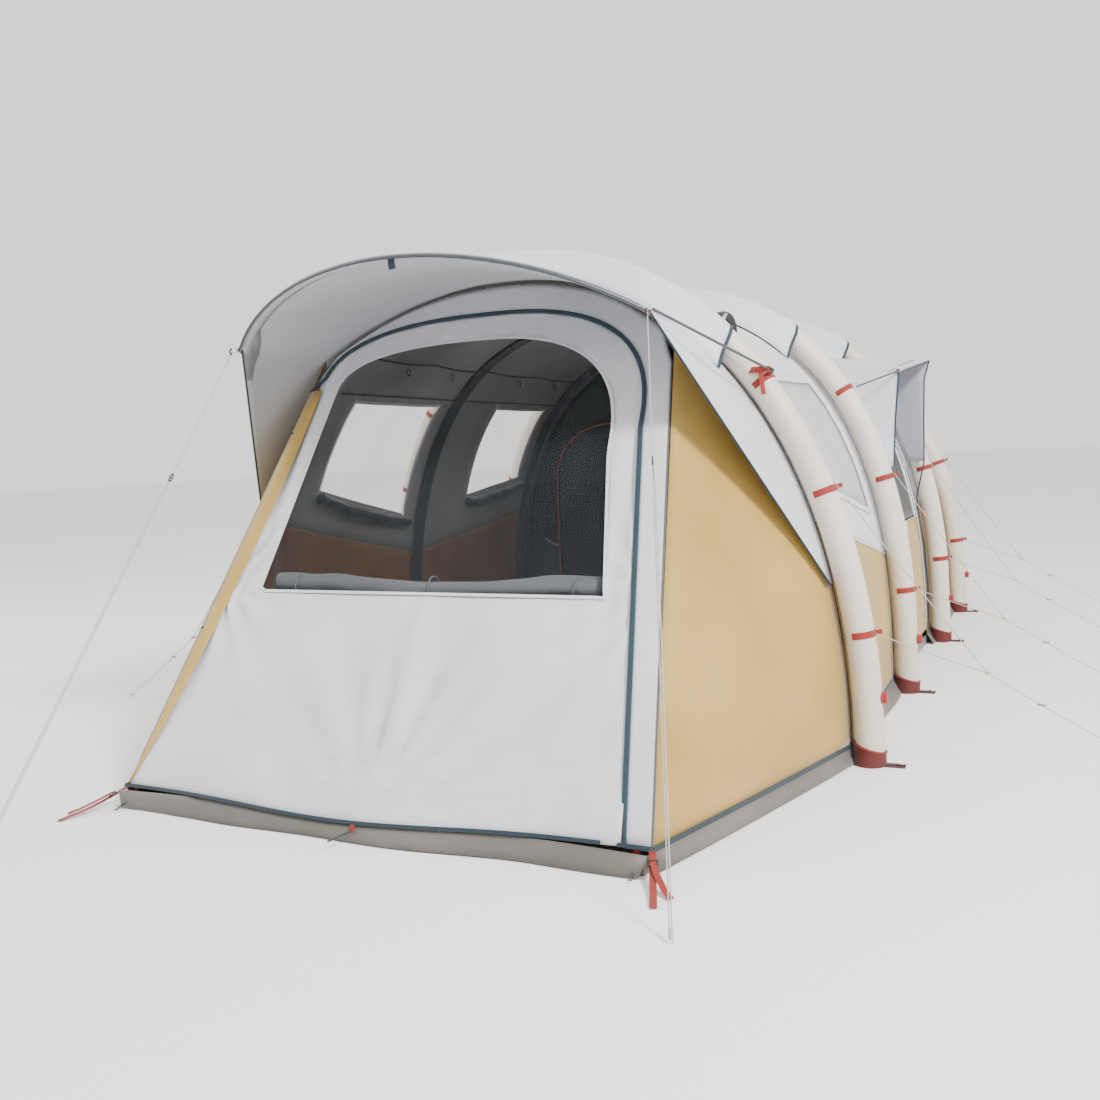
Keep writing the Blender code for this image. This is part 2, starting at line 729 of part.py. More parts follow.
def front_side_panels():
    """Lower fabric between the front wall and the first arch."""
    steps = 10
    for side, sign in (("right", 1), ("left", -1)):
        rows = []
        for i in range(steps + 1):
            share = i / steps
            z = HEM_HEIGHT + (1.73 - HEM_HEIGHT) * share
            edge = on_front(wall_x(z) + 0.002, z)
            level = HEM_HEIGHT + (1.60 - HEM_HEIGHT) * share
            root = skin_at(level, ARCH_Y[0], SIDE_INSET) - Vector((0, 0.012, 0))
            belly = Vector((0.010, -0.006, 0.002)) * (1 - share)
            points = [root, root.lerp(edge, 0.5) + belly, edge]
            points = [Vector((sign * p.x, p.y, p.z)) for p in points]
            rows.append(points if sign > 0 else list(reversed(points)))
        sheet(f"front_side_panel_{side}", rows, "beige_fabric")


def hood_canopy():
    """Hood from the first arch forward to the bent pole, with a wing down each side."""
    low = turn_at(HOOD_LOW_HEIGHT, ARCH_Y[0])
    corner = turn_at(HOOD_TURN_HEIGHT, ARCH_Y[0])
    pole = hood_pole_points(17)[:9]
    turns = [low + (corner - low) * i / 6 for i in range(7)]
    turns += [corner + (0.5 - corner) * i / 8 for i in range(1, 9)]
    low_point = skin(low, ARCH_Y[0] - 0.045)
    lift = Vector((0, POLE_CLEARANCE, POLE_CLEARANCE))
    fronts = [low_point.lerp(HOOD_CORNER, i / 6) for i in range(7)]
    fronts[-1] = HOOD_CORNER + Vector((0.0, 0.016, 0.004))
    fronts += [point + lift for point in pole[1:]]
    half = []
    for turn, front in zip(turns, fronts):
        root = skin(turn, ARCH_Y[0] - SEAM_GAP)
        half.append([front, front.lerp(root, 0.5), root])
    rows = half + [[Vector((-p.x, p.y, p.z)) for p in row] for row in reversed(half[:-1])]
    sheet("hood_canopy", rows, "white_fabric")


# ---------------------------------------------------------------- rear
def on_rear(x, z):
    return Vector((x, REAR_Y - REAR_LEAN * z, z))


def rear_end():
    """Sloping rear wall, and the band of fabric between it and the last arch."""
    half = even(wall_outline(), 17)
    outline = list(half) + [Vector((-p.x, p.y)) for p in reversed(half[:-1])]
    plate("rear_wall", [on_rear(p.x, p.y) for p in outline], (0, 1, REAR_LEAN), "white_fabric")
    foot = turn_at(HEM_HEIGHT, ARCH_Y[3])
    rows = []
    total = len(outline) - 1
    for i, point in enumerate(outline):
        turn = foot + (1 - 2 * foot) * i / total
        root = skin(turn, ARCH_Y[3] + SEAM_GAP)
        edge = on_rear(point.x, point.y)
        away = Vector((point.x, 0, point.y * 0.6)).normalized() * 0.008
        rows.append([root, root.lerp(edge + away, 0.5), edge + away])
    sheet("rear_canopy", rows, "beige_fabric")


# ---------------------------------------------------------------- bedrooms
def bedroom_door_outline(side, shrink=0.0):
    """Closed outline of one bedroom door, as (x, z)."""
    inner = 0.22 + shrink
    outer = 1.12 - shrink
    low = 0.14 + shrink
    middle = (inner + outer) / 2
    half = (outer - inner) / 2
    arch = superquarter((middle, 1.05), (half, 0.42 - shrink), 0, 180, 14, power=0.9)
    points = [(inner, low), (outer, low)] + arch
    if side < 0:
        points = [(-x, z) for x, z in reversed(points)]
    return points


def bedrooms():
    """Dark inner tent behind the third arch: front, two doors, divider and tunnel lining."""
    foot = turn_at(0.075, BEDROOM_Y, BEDROOM_INSET)
    steps = 20
    outline = [arch_xz(foot + (1 - 2 * foot) * i / steps, BEDROOM_Y, BEDROOM_INSET)
               for i in range(steps + 1)]
    front = plate("bedroom_front", [Vector((x, BEDROOM_Y, z)) for x, z in outline], (0, -1, 0),
                  "black_fabric")
    cutters = []
    for side in (1, -1):
        ring = [Vector((x, BEDROOM_Y - 0.05, z)) for x, z in bedroom_door_outline(side)]
        cutters.append(plate("cutter", ring, (0, -1, 0), "black_fabric", thickness=0.1))
    joined(front, cutters, "DIFFERENCE")
    for name, side in (("right", 1), ("left", -1)):
        ring = [Vector((x, BEDROOM_Y, z)) for x, z in bedroom_door_outline(side, 0.003)]
        plate(f"bedroom_door_{name}", ring, (0, -1, 0), "black_fabric",
              origin=(side * 1.12, BEDROOM_Y, 0.14))
    rows = []
    for i in range(steps + 1):
        turn = foot + (1 - 2 * foot) * i / steps
        near = skin(turn, BEDROOM_Y + 0.008, BEDROOM_INSET)
        rows.append([near, skin(turn, ARCH_Y[3], BEDROOM_INSET)])
    sheet("bedroom_lining", rows, "black_fabric")
    divider = [(BEDROOM_Y + 0.02, 0.010), (ARCH_Y[3], 0.010), (ARCH_Y[3], 1.92),
               (BEDROOM_Y + 0.02, 1.92)]
    plate("bedroom_divider", [Vector((0.0015, y, z)) for y, z in divider], (1, 0, 0),
          "black_fabric")


# ---------------------------------------------------------------- roof vents
def roof_vents():
    """Hooded vent on the right shoulder of the roof in the first two bays, hinged on top."""
    for k, y in ((1, ARCH_Y[0] + 0.50), (2, ARCH_Y[1] + 0.50)):
        upper = turn_at(1.93, y, FABRIC_INSET - 0.006)
        lower = turn_at(1.80, y, FABRIC_INSET - 0.006)
        rows = []
        for share in (0.0, 0.5, 1.0):
            turn = lower + (upper - lower) * share
            row = []
            for across in (-0.26, -0.16, 0.0, 0.16, 0.26):
                rise = 0.050 * (1 - share) * (1 - (across / 0.26) ** 2)
                point = skin(turn, y - across, FABRIC_INSET - 0.006)
                out = Vector((point.x, 0, point.z * 0.8)).normalized()
                row.append(point + out * (rise + 0.002))
            rows.append(row)
        origin = skin(upper, y, FABRIC_INSET - 0.006)
        sheet(f"roof_vent_{k}", rows, "grey_sheet", origin=origin)


# ---------------------------------------------------------------- guy lines
def run(start, end, sag, count):
    """Points from start to end of a taut line with a slight sag, both ends included."""
    points = []
    for i in range(count):
        share = i / (count - 1)
        point = Vector(start).lerp(Vector(end), share)
        point.z -= sag * 4 * share * (1 - share)
        points.append(point)
    return points


def side_guy(side, sign, k):
    """Forked guy line: two branches from the arch to a ring, and one line from there to the
    ground."""
    y = ARCH_Y[k - 1]
    ring = Vector((sign * GUY_RING.x, y, GUY_RING.z))
    end = Vector((sign * GUY_END.x, y + GUY_END.y, GUY_END.z))
    lines = [tube("main_line", run(ring, end, 0.006, 12), CORD_RADIUS, "cord_grey")]
    for height in (GUY_UPPER, GUY_LOWER):
        out = Vector((1.0, 0.0, 0.45 if height > 1 else 0.05)).normalized()
        start = skin_at(height, y, 0.0) + out * 0.064
        start.x *= sign
        lines.append(tube("branch", run(start, ring, 0.004, 10), CORD_RADIUS, "cord_grey"))
    solids = [as_mesh(line) for line in lines]
    hub = bmesh.new()
    bmesh.ops.create_icosphere(hub, subdivisions=1, radius=0.007)
    bmesh.ops.translate(hub, vec=ring, verts=hub.verts)
    mesh = bpy.data.meshes.new("hub")
    hub.to_mesh(mesh)
    hub.free()
    guy = place(f"side_guy_{side}_{k}", mesh, "cord_grey")
    joined(guy, solids)


def guy_lines():
    for k in range(1, 5):
        side_guy("right", 1, k)
    side_guy("left", -1, 1)
    for side, sign in (("right", 1), ("left", -1)):
        top = Vector((sign * (HOOD_CORNER.x + 0.012), HOOD_CORNER.y - 0.030, HOOD_CORNER.z - 0.010))
        end = Vector((sign * FRONT_GUY_END.x, FRONT_GUY_END.y, FRONT_GUY_END.z))
        tube(f"front_guy_{side}", run(top, end, 0.008, 24), CORD_RADIUS, "cord_grey")


def build():
    clear_scene()
    air_arches()
    foot_caps()
    poles()
    groundsheet()
    lower_walls()
    roof_bay(0, ("right", "left"))
    roof_bay(1, ("left",))
    roof_bay(2, ())
    side_panes()
    side_door()
    side_awning()
    front_end()
    front_side_panels()
    hood_canopy()
    rear_end()
    bedrooms()
    roof_vents()
    guy_lines()


build()
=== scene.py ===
"""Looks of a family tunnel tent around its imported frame: cloth panels, piping, webbing, zips,
fittings, guy lines and finishes. +X is the right side, -Y the front, +Z up, sizes in metres."""
import json
import logging
import math
from collections.abc import Callable, Sequence
from dataclasses import dataclass, field
from enum import Enum

import bpy
from mathutils import Matrix, Vector, noise

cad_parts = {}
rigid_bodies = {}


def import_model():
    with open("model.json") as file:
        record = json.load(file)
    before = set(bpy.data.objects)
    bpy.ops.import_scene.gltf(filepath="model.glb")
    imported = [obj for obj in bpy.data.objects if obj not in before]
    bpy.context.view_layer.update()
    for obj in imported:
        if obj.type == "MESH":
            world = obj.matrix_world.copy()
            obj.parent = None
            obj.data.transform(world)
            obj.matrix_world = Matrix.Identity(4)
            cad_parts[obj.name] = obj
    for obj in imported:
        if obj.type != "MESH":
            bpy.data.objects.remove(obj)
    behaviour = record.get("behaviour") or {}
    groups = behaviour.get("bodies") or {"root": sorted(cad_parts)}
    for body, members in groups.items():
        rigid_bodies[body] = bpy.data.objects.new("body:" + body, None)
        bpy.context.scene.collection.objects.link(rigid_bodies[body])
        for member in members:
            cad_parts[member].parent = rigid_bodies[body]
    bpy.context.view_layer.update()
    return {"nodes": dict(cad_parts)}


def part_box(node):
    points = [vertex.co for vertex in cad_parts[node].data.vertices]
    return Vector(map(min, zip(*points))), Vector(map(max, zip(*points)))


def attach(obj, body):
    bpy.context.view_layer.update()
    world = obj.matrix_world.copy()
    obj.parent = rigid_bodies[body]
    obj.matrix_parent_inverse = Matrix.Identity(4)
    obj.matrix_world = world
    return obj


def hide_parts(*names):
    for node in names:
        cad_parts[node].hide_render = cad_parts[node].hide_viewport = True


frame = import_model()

LOG = logging.getLogger("tent")
Piece = bpy.types.Object
Rows = list[list[Vector]]
ROOT = "tent"


# ---------------------------------------------------------------- small tools
def linear(code: str) -> tuple[float, float, float, float]:
    """Turn an sRGB hex colour into linear light.

    Args:
        code: colour such as "#C8AF82".
    Returns:
        Red, green, blue and an alpha of one.
    """
    values = [int(code[i:i + 2], 16) / 255 for i in (1, 3, 5)]
    parts = [v / 12.92 if v <= 0.04045 else ((v + 0.055) / 1.055) ** 2.4 for v in values]
    return parts[0], parts[1], parts[2], 1.0


def add_node(tree: bpy.types.NodeTree, kind: str, settings: dict | None = None,
             links: dict | None = None) -> bpy.types.Node:
    """Add one shader node with its settings and links.

    Args:
        tree: the material's node tree.
        kind: Blender's name of the node type.
        settings: attribute or input names with their values.
        links: input name or index to a pair of source node and output name.
    Returns:
        The new node.
    """
    made = tree.nodes.new(kind)
    for key, value in (settings or {}).items():
        if isinstance(key, str) and hasattr(made, key):
            setattr(made, key, value)
        else:
            made.inputs[key].default_value = value
    for key, (source, output) in (links or {}).items():
        tree.links.new(source.outputs[output], made.inputs[key])
    return made


def clear_selection() -> None:
    """Deselect every object, because an operator acts on all that is selected."""
    for thing in bpy.context.scene.objects:
        thing.select_set(False)


def activate(piece: Piece) -> None:
    """Select one piece alone and make it the active one."""
    clear_selection()
    piece.select_set(True)
    bpy.context.view_layer.objects.active = piece


# ---------------------------------------------------------------- finishes
class Side(Enum):
    """Which side of the tent a piece is on."""

    RIGHT = 1
    LEFT = -1


class Coordinates(Enum):
    """What a pattern is measured along."""

    CLOTH = "cloth"
    OBJECT = "Object"


@dataclass(frozen=True)
class Cloth:
    """Woven and coated tent fabric: a soft sheen, slow colour drift, and creases from packing."""

    name: str
    colour: str
    shade: str
    thread_mm: float = 6.0
    roughness: float = 0.62
    sheen: float = 0.25
    crease: float = 0.35
    weave: float = 0.25
    soil: float = 0.18
    coordinates: Coordinates = Coordinates.CLOTH

    def material(self) -> bpy.types.Material:
        """Make the material once, and give the same one after that."""
        found = bpy.data.materials.get(self.name)
        if found:
            return found
        made = bpy.data.materials.new(self.name)
        made.use_nodes = True
        tree = made.node_tree
        shader = tree.nodes["Principled BSDF"]
        place = add_node(tree, "ShaderNodeTexCoord")
        if self.coordinates is Coordinates.CLOTH:
            flat, output = add_node(tree, "ShaderNodeUVMap", {"uv_map": "cloth"}), "UV"
        else:
            flat, output = place, "Object"
        # a sine band repeats every pi / (10 * scale) metres; real threads of 0.3 mm are too fine
        # to show, so a band stands for a bundle of them
        bands = math.pi / (10 * self.thread_mm / 1000)
        warp = add_node(tree, "ShaderNodeTexWave", {"bands_direction": "X", "Scale": bands,
                        "Distortion": 0.6, "Detail": 1.0}, {"Vector": (flat, output)})
        across = "Y" if self.coordinates is Coordinates.CLOTH else "Z"
        weft = add_node(tree, "ShaderNodeTexWave", {"bands_direction": across, "Scale": bands,
                        "Distortion": 0.6, "Detail": 1.0}, {"Vector": (flat, output)})
        weave = add_node(tree, "ShaderNodeMath", {"operation": "MULTIPLY"},
                         {0: (warp, "Fac"), 1: (weft, "Fac")})
        drift = add_node(tree, "ShaderNodeTexNoise", {"Scale": 1.7, "Detail": 4.0,
                         "Roughness": 0.55}, {"Vector": (place, "Object")})
        spread = add_node(tree, "ShaderNodeMapRange", {"From Min": 0.35, "From Max": 0.68},
                          {"Value": (drift, "Fac")})
        base = add_node(tree, "ShaderNodeMix", {"data_type": "RGBA"}, {0: (spread, "Result")})
        base.inputs[6].default_value = linear(self.colour)
        base.inputs[7].default_value = linear(self.shade)
        low = add_node(tree, "ShaderNodeSeparateXYZ", None, {"Vector": (place, "Object")})
        dust = add_node(tree, "ShaderNodeMapRange", {"From Min": 0.30, "From Max": 0.02,
                        "To Min": 0.0, "To Max": self.soil}, {"Value": (low, "Z")})
        patch = add_node(tree, "ShaderNodeMath", {"operation": "MULTIPLY"},
                         {0: (dust, "Result"), 1: (drift, "Fac")})
        worn = add_node(tree, "ShaderNodeMix", {"data_type": "RGBA"},
                        {0: (patch, "Value"), 6: (base, 2)})
        worn.inputs[7].default_value = linear("#6E6353")
        thread = add_node(tree, "ShaderNodeMapRange", {"To Min": 0.93, "To Max": 1.0},
                          {"Value": (weave, "Value")})
        tinted = add_node(tree, "ShaderNodeMix", {"data_type": "RGBA", "blend_type": "MULTIPLY",
                          0: 1.0}, {6: (worn, 2), 7: (thread, "Result")})
        gloss = add_node(tree, "ShaderNodeMapRange", {"To Min": self.roughness - 0.08,
                         "To Max": min(self.roughness + 0.10, 1.0)}, {"Value": (drift, "Fac")})
        folds = add_node(tree, "ShaderNodeTexNoise", {"Scale": 4.2, "Detail": 5.0,
                         "Roughness": 0.45, "Distortion": 1.8}, {"Vector": (place, "Object")})
        soft = add_node(tree, "ShaderNodeBump", {"Strength": self.crease, "Distance": 0.012},
                        {"Height": (folds, "Fac")})
        fine = add_node(tree, "ShaderNodeBump", {"Strength": self.weave, "Distance": 0.0008},
                        {"Height": (weave, "Value"), "Normal": (soft, "Normal")})
        tree.links.new(tinted.outputs[2], shader.inputs["Base Color"])
        tree.links.new(gloss.outputs["Result"], shader.inputs["Roughness"])
        tree.links.new(fine.outputs["Normal"], shader.inputs["Normal"])
        shader.inputs["IOR"].default_value = 1.5
        shader.inputs["Sheen Weight"].default_value = self.sheen
        shader.inputs["Sheen Roughness"].default_value = 0.4
        return made


@dataclass(frozen=True)
class Film:
    """Clear flexible window film: glossy, faintly grey, with shallow ripples and fine scuffs."""

    name: str
    colour: str
    alpha: float
    roughness: float = 0.10

    def material(self) -> bpy.types.Material:
        """Make the material once, and give the same one after that."""
        found = bpy.data.materials.get(self.name)
        if found:
            return found
        made = bpy.data.materials.new(self.name)
        made.use_nodes = True
        tree = made.node_tree
        shader = tree.nodes["Principled BSDF"]
        place = add_node(tree, "ShaderNodeTexCoord")
        ripple = add_node(tree, "ShaderNodeTexNoise", {"Scale": 3.0, "Detail": 2.0,
                          "Distortion": 0.8}, {"Vector": (place, "Object")})
        scuff = add_node(tree, "ShaderNodeTexNoise", {"Scale": 60.0, "Detail": 6.0},
                         {"Vector": (place, "Object")})
        bump = add_node(tree, "ShaderNodeBump", {"Strength": 0.25, "Distance": 0.01},
                        {"Height": (ripple, "Fac")})
        gloss = add_node(tree, "ShaderNodeMapRange", {"To Min": self.roughness * 0.6,
                         "To Max": self.roughness * 2.2}, {"Value": (scuff, "Fac")})
        haze = add_node(tree, "ShaderNodeMapRange", {"From Min": 0.3, "From Max": 0.7,
                        "To Min": self.alpha * 0.8, "To Max": self.alpha * 1.2},
                        {"Value": (ripple, "Fac")})
        tree.links.new(haze.outputs["Result"], shader.inputs["Alpha"])
        tree.links.new(gloss.outputs["Result"], shader.inputs["Roughness"])
        tree.links.new(bump.outputs["Normal"], shader.inputs["Normal"])
        shader.inputs["Specular IOR Level"].default_value = 0.12
        shader.inputs["Base Color"].default_value = linear(self.colour)
        shader.inputs["IOR"].default_value = 1.49
        return made


@dataclass(frozen=True)
class Moulded:
    """Moulded or drawn part, such as nylon buckles and glass-fibre rods: fine grain, scuffed."""

    name: str
    colour: str
    shade: str
    roughness: float = 0.42
    grain_mm: float = 3.0
    metallic: float = 0.0
    depth: float = 0.15

    def material(self) -> bpy.types.Material:
        """Make the material once, and give the same one after that."""
        found = bpy.data.materials.get(self.name)
        if found:
            return found
        made = bpy.data.materials.new(self.name)
        made.use_nodes = True
        tree = made.node_tree
        shader = tree.nodes["Principled BSDF"]
        place = add_node(tree, "ShaderNodeTexCoord")
        grain = add_node(tree, "ShaderNodeTexNoise", {"Scale": 1000 / (self.grain_mm * 4),
                         "Detail": 3.0}, {"Vector": (place, "Object")})
        mix = add_node(tree, "ShaderNodeMix", {"data_type": "RGBA"}, {0: (grain, "Fac")})
        mix.inputs[6].default_value = linear(self.colour)
        mix.inputs[7].default_value = linear(self.shade)
        gloss = add_node(tree, "ShaderNodeMapRange", {"To Min": self.roughness * 0.75,
                         "To Max": self.roughness * 1.3}, {"Value": (grain, "Fac")})
        bump = add_node(tree, "ShaderNodeBump", {"Strength": self.depth, "Distance": 0.0004},
                        {"Height": (grain, "Fac")})
        tree.links.new(mix.outputs[2], shader.inputs["Base Color"])
        tree.links.new(gloss.outputs["Result"], shader.inputs["Roughness"])
        tree.links.new(bump.outputs["Normal"], shader.inputs["Normal"])
        shader.inputs["Metallic"].default_value = self.metallic
        if not self.metallic:
            shader.inputs["IOR"].default_value = 1.53
        return made


@dataclass(frozen=True)
class Ribbed:
    """Woven webbing, zip tape or braided cord: close ribs across its length."""

    name: str
    colour: str
    shade: str
    rib_mm: float
    roughness: float = 0.7
    direction: str = "DIAGONAL"
    depth: float = 0.5

    def material(self) -> bpy.types.Material:
        """Make the material once, and give the same one after that."""
        found = bpy.data.materials.get(self.name)
        if found:
            return found
        made = bpy.data.materials.new(self.name)
        made.use_nodes = True
        tree = made.node_tree
        shader = tree.nodes["Principled BSDF"]
        place = add_node(tree, "ShaderNodeTexCoord")
        ribs = add_node(tree, "ShaderNodeTexWave", {"bands_direction": self.direction,
                        "Scale": math.pi / (10 * self.rib_mm / 1000), "Distortion": 0.5},
                        {"Vector": (place, "Object")})
        fade = add_node(tree, "ShaderNodeTexNoise", {"Scale": 9.0, "Detail": 3.0},
                        {"Vector": (place, "Object")})
        amount = add_node(tree, "ShaderNodeMath", {"operation": "MULTIPLY"},
                          {0: (ribs, "Fac"), 1: (fade, "Fac")})
        mix = add_node(tree, "ShaderNodeMix", {"data_type": "RGBA"}, {0: (amount, "Value")})
        mix.inputs[6].default_value = linear(self.colour)
        mix.inputs[7].default_value = linear(self.shade)
        gloss = add_node(tree, "ShaderNodeMapRange", {"To Min": self.roughness - 0.1,
                         "To Max": self.roughness + 0.1}, {"Value": (fade, "Fac")})
        bump = add_node(tree, "ShaderNodeBump", {"Strength": self.depth, "Distance": 0.0006},
                        {"Height": (ribs, "Fac")})
        tree.links.new(mix.outputs[2], shader.inputs["Base Color"])
        tree.links.new(gloss.outputs["Result"], shader.inputs["Roughness"])
        tree.links.new(bump.outputs["Normal"], shader.inputs["Normal"])
        shader.inputs["Sheen Weight"].default_value = 0.15
        return made


Finish = Cloth | Film | Moulded | Ribbed

# flysheet polyester, coated and satin, white with a cold cast
WHITE = Cloth("polyester_white", "#D6D6DA", "#C9C9CF")
# the hood and awning catch light from below, so they look a little greyer
HOOD_WHITE = Cloth("polyester_white_hood", "#CFD0D4", "#C2C3C9", crease=0.3)
# lower flysheet, dyed sand
SAND = Cloth("polyester_sand", "#B9974C", "#A6853A", crease=0.35, sheen=0.2)
# back of the sand cloth, seen from inside: a darker, browner copy of the sand that is painted shade
# of the tent's inside
SAND_INSIDE_SHADE = Cloth("polyester_sand_back", "#A5703C", "#8C5C2E", roughness=0.7)
# back of the white cloth, seen from inside: a darker grey copy of the white that is painted shade
# of the tent's inside
WHITE_INSIDE_SHADE = Cloth("polyester_white_back", "#A09F9E", "#8D8C8B", roughness=0.7)
HOOD_INSIDE = Cloth("polyester_hood_back", "#BFC0C4", "#AEB0B5", roughness=0.7)
# sleeve over the air bladder, cream, tightly stretched
TUBE_CLOTH = Cloth("polyester_air_sleeve", "#DDD5C8", "#CFC5B5", thread_mm=5.0, crease=0.15,
                   roughness=0.5, coordinates=Coordinates.OBJECT)
FOOT_RED = Cloth("cordura_red", "#610A05", "#4A0603", thread_mm=4.0, roughness=0.75, weave=0.6,
                 crease=0.3, coordinates=Coordinates.OBJECT)
TRAY_GREY = Cloth("polyethylene_tray_grey", "#69635C", "#57524C", thread_mm=4.0, roughness=0.5,
                  crease=0.6, coordinates=Coordinates.OBJECT)
# grey of the mud flaps, darkened to hold the shadow under the hem binding: the flaps' own grey plus
# painted shadow
FLAP_GREY_AND_SHADE = Cloth("polyethylene_flap_grey", "#6E6862", "#5B5650", thread_mm=4.0, roughness=0.5,
                  crease=0.7)
BLACKOUT = Cloth("polyester_blackout", "#0C0C0E", "#08080A", roughness=0.7, sheen=0.0,
                 crease=0.6, soil=0.0)
CURTAIN_GREY = Cloth("polyester_curtain_grey", "#5A5B60", "#47484D", roughness=0.7, crease=0.7)
CURTAIN_WHITE = Cloth("polyester_curtain_white", "#CFD0D3", "#BFC1C6", roughness=0.7, crease=0.7)
# darker grey of the awning's underside and of its rear gusset seen from inside: painted shade under
# the awning
GUSSET_PAINTED_SHADE = Cloth("polyester_gusset_lilac", "#A6A6B0", "#9494A0", crease=0.4)
SLEEVE_GREY = Cloth("polyester_inner_sleeve", "#3A3A3D", "#2E2E31", crease=0.3)
NET = Cloth("insect_net_black", "#121315", "#0C0C0E", thread_mm=5.0, weave=0.9, roughness=0.85,
            crease=0.2)
VENT_NET = Cloth("insect_net_grey", "#5F5B58", "#474442", thread_mm=6.0, weave=0.9,
                 roughness=0.85, crease=0.2)
CLEAR = Film("tpu_window_clear", "#6A7075", 0.05)
MILKY = Film("tpu_window_milky", "#CDCED2", 0.55, 0.25)
TEAL = Ribbed("piping_teal", "#0B2733", "#06161E", 4.0)
SEAM_GREY = Ribbed("piping_grey", "#55565A", "#38393C", 4.0)
SEAM_PALE = Ribbed("piping_pale", "#8B8C91", "#6C6D72", 4.0)
SEAM_BLACK = Ribbed("piping_black", "#2A2B30", "#17181B", 4.0)
ZIP_TEAL = Ribbed("zip_coil_teal", "#173E4C", "#0C2630", 3.0, depth=0.9)
ZIP_ORANGE = Ribbed("zip_coil_orange", "#A5331B", "#742312", 3.0, depth=0.9)
WEB_RED = Ribbed("webbing_red", "#8E2114", "#6A160D", 3.0)
WEB_BLACK = Ribbed("webbing_black", "#2C2C30", "#161618", 3.0)
CORD_WHITE = Ribbed("braided_cord_white", "#B5B3AC", "#8C8A83", 2.0)
CORD_TEAL = Ribbed("elastic_cord_dark", "#22343D", "#101A20", 2.0)
NYLON_BLACK = Moulded("acetal_black", "#1B1B1E", "#2A2A2E")
NYLON_RED = Moulded("acetal_red", "#B0322A", "#8F241E", roughness=0.4)
NYLON_WHITE = Moulded("acetal_white", "#E8E8EA", "#CFCFD2")
ROD = Moulded("glass_fibre_rod", "#2F3236", "#43474C", roughness=0.35)
STEEL = Moulded("steel_zinc_plated", "#B9BBBE", "#8D9094", roughness=0.3, metallic=1.0)


# ---------------------------------------------------------------- building blocks
def finish_piece(piece: Piece, finish: Finish, body: str, node: Sequence[str] = ()) -> Piece:
    """Dress a piece, tie it to its body, and let it stand for CAD nodes.

    Args:
        piece: the new piece, its object at the origin.
        finish: what it is made of.
        body: the body that it moves with.
        node: CAD nodes that it replaces.
    Returns:
        The same piece.
    """
    if not piece.data.materials:
        piece.data.materials.append(finish.material())
    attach(piece, body)
    if node:
        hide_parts(*node)
    LOG.info("%s on %s", piece.name, body)
    return piece


def link(name: str, data: bpy.types.ID) -> Piece:
    """Put new mesh or curve data in the scene as an object."""
    piece = bpy.data.objects.new(name, data)
    bpy.context.collection.objects.link(piece)
    return piece


def cloth_panel(name: str, rows: Rows, outside: Finish, inside: Finish | None = None,
                body: str = ROOT, node: Sequence[str] = (), heart: Vector | None = None,
                thickness: float = 0.0014, keep: Callable[[int, int], bool] | None = None,
                declare: bool = True, tubular: bool = False) -> Piece:
    """Make a thin sheet of cloth on a grid of points.

    Args:
        name: the piece's name.
        rows: grid of points of its outer face.
        outside: finish of the outer face and the edges.
        inside: finish of the inner face, or None for the same.
        body: body that it moves with.
        node: CAD nodes that it stands for.
        heart: point that the inner face looks towards, or None for the tent's middle line.
        thickness: how thick the cloth is drawn.
        keep: tells which cells are there, by row and column.
        declare: whether the extent of a ring of cloth is worked out.
        tubular: whether the grid closes round a tube, whose ends are then capped.
    Returns:
        The piece.
    """
    height, width = len(rows), len(rows[0])
    cells = [(r, c) for r in range(height - 1) for c in range(width - 1)
             if keep is None or keep(r, c)]
    points = [point for row in rows for point in row]
    middle = sum(points, Vector()) / len(points)
    heart = heart or Vector((0, middle.y, 0.9))
    turned = 0.0
    for r, c in cells:
        normal = (rows[r][c + 1] - rows[r][c]).cross(rows[r + 1][c] - rows[r][c])
        turned += normal.dot(rows[r][c] - heart)
    mesh = bpy.data.meshes.new(name)
    faces = []
    for r, c in cells:
        ring = [r * width + c, r * width + c + 1, (r + 1) * width + c + 1, (r + 1) * width + c]
        faces.append(ring if turned > 0 else list(reversed(ring)))
    used = sorted({i for face in faces for i in face})
    fresh = {old: new for new, old in enumerate(used)}
    mesh.from_pydata([points[i] for i in used], [], [[fresh[i] for i in f] for f in faces])
    across = [0.0]
    for c in range(1, width):
        across.append(across[-1] + max((rows[height // 2][c] - rows[height // 2][c - 1]).length,
                                       (rows[0][c] - rows[0][c - 1]).length))
    along = [0.0]
    for r in range(1, height):
        along.append(along[-1] + (rows[r][width // 2] - rows[r - 1][width // 2]).length)
    layer = mesh.uv_layers.new(name="cloth")
    for polygon in mesh.polygons:
        for loop in polygon.loop_indices:
            old = used[mesh.loops[loop].vertex_index]
            layer.data[loop].uv = (across[old % width], along[old // width])
    mesh.materials.append(outside.material())
    mesh.materials.append((inside or outside).material())
    mesh.shade_smooth()
    piece = link(name, mesh)
    activate(piece)
    bpy.ops.object.mode_set(mode="EDIT")
    bpy.ops.mesh.select_all(action="SELECT")
    bpy.ops.mesh.remove_doubles(threshold=0.00002)
    bpy.ops.object.mode_set(mode="OBJECT")
    if tubular:
        bpy.ops.object.mode_set(mode="EDIT")
        bpy.ops.mesh.select_all(action="SELECT")
        bpy.ops.mesh.fill_holes(sides=0)
        bpy.ops.mesh.normals_make_consistent(inside=False)
        bpy.ops.object.mode_set(mode="OBJECT")
    else:
        wall = piece.modifiers.new("wall", "SOLIDIFY")
        wall.thickness = thickness
        wall.offset = -1.0
        wall.material_offset = 1
        bpy.ops.object.modifier_apply(modifier="wall")
    finish_piece(piece, outside, body, node)
    if declare:
        if all((row[0] - row[-1]).length < 1e-6 for row in rows):
            # a ring of cloth lies flat in one upright or leaning plane: its size is its extent
            low, high = (Vector([pick(p[i] for row in rows for p in row) for i in range(3)])
                         for pick in (min, max))
    return piece


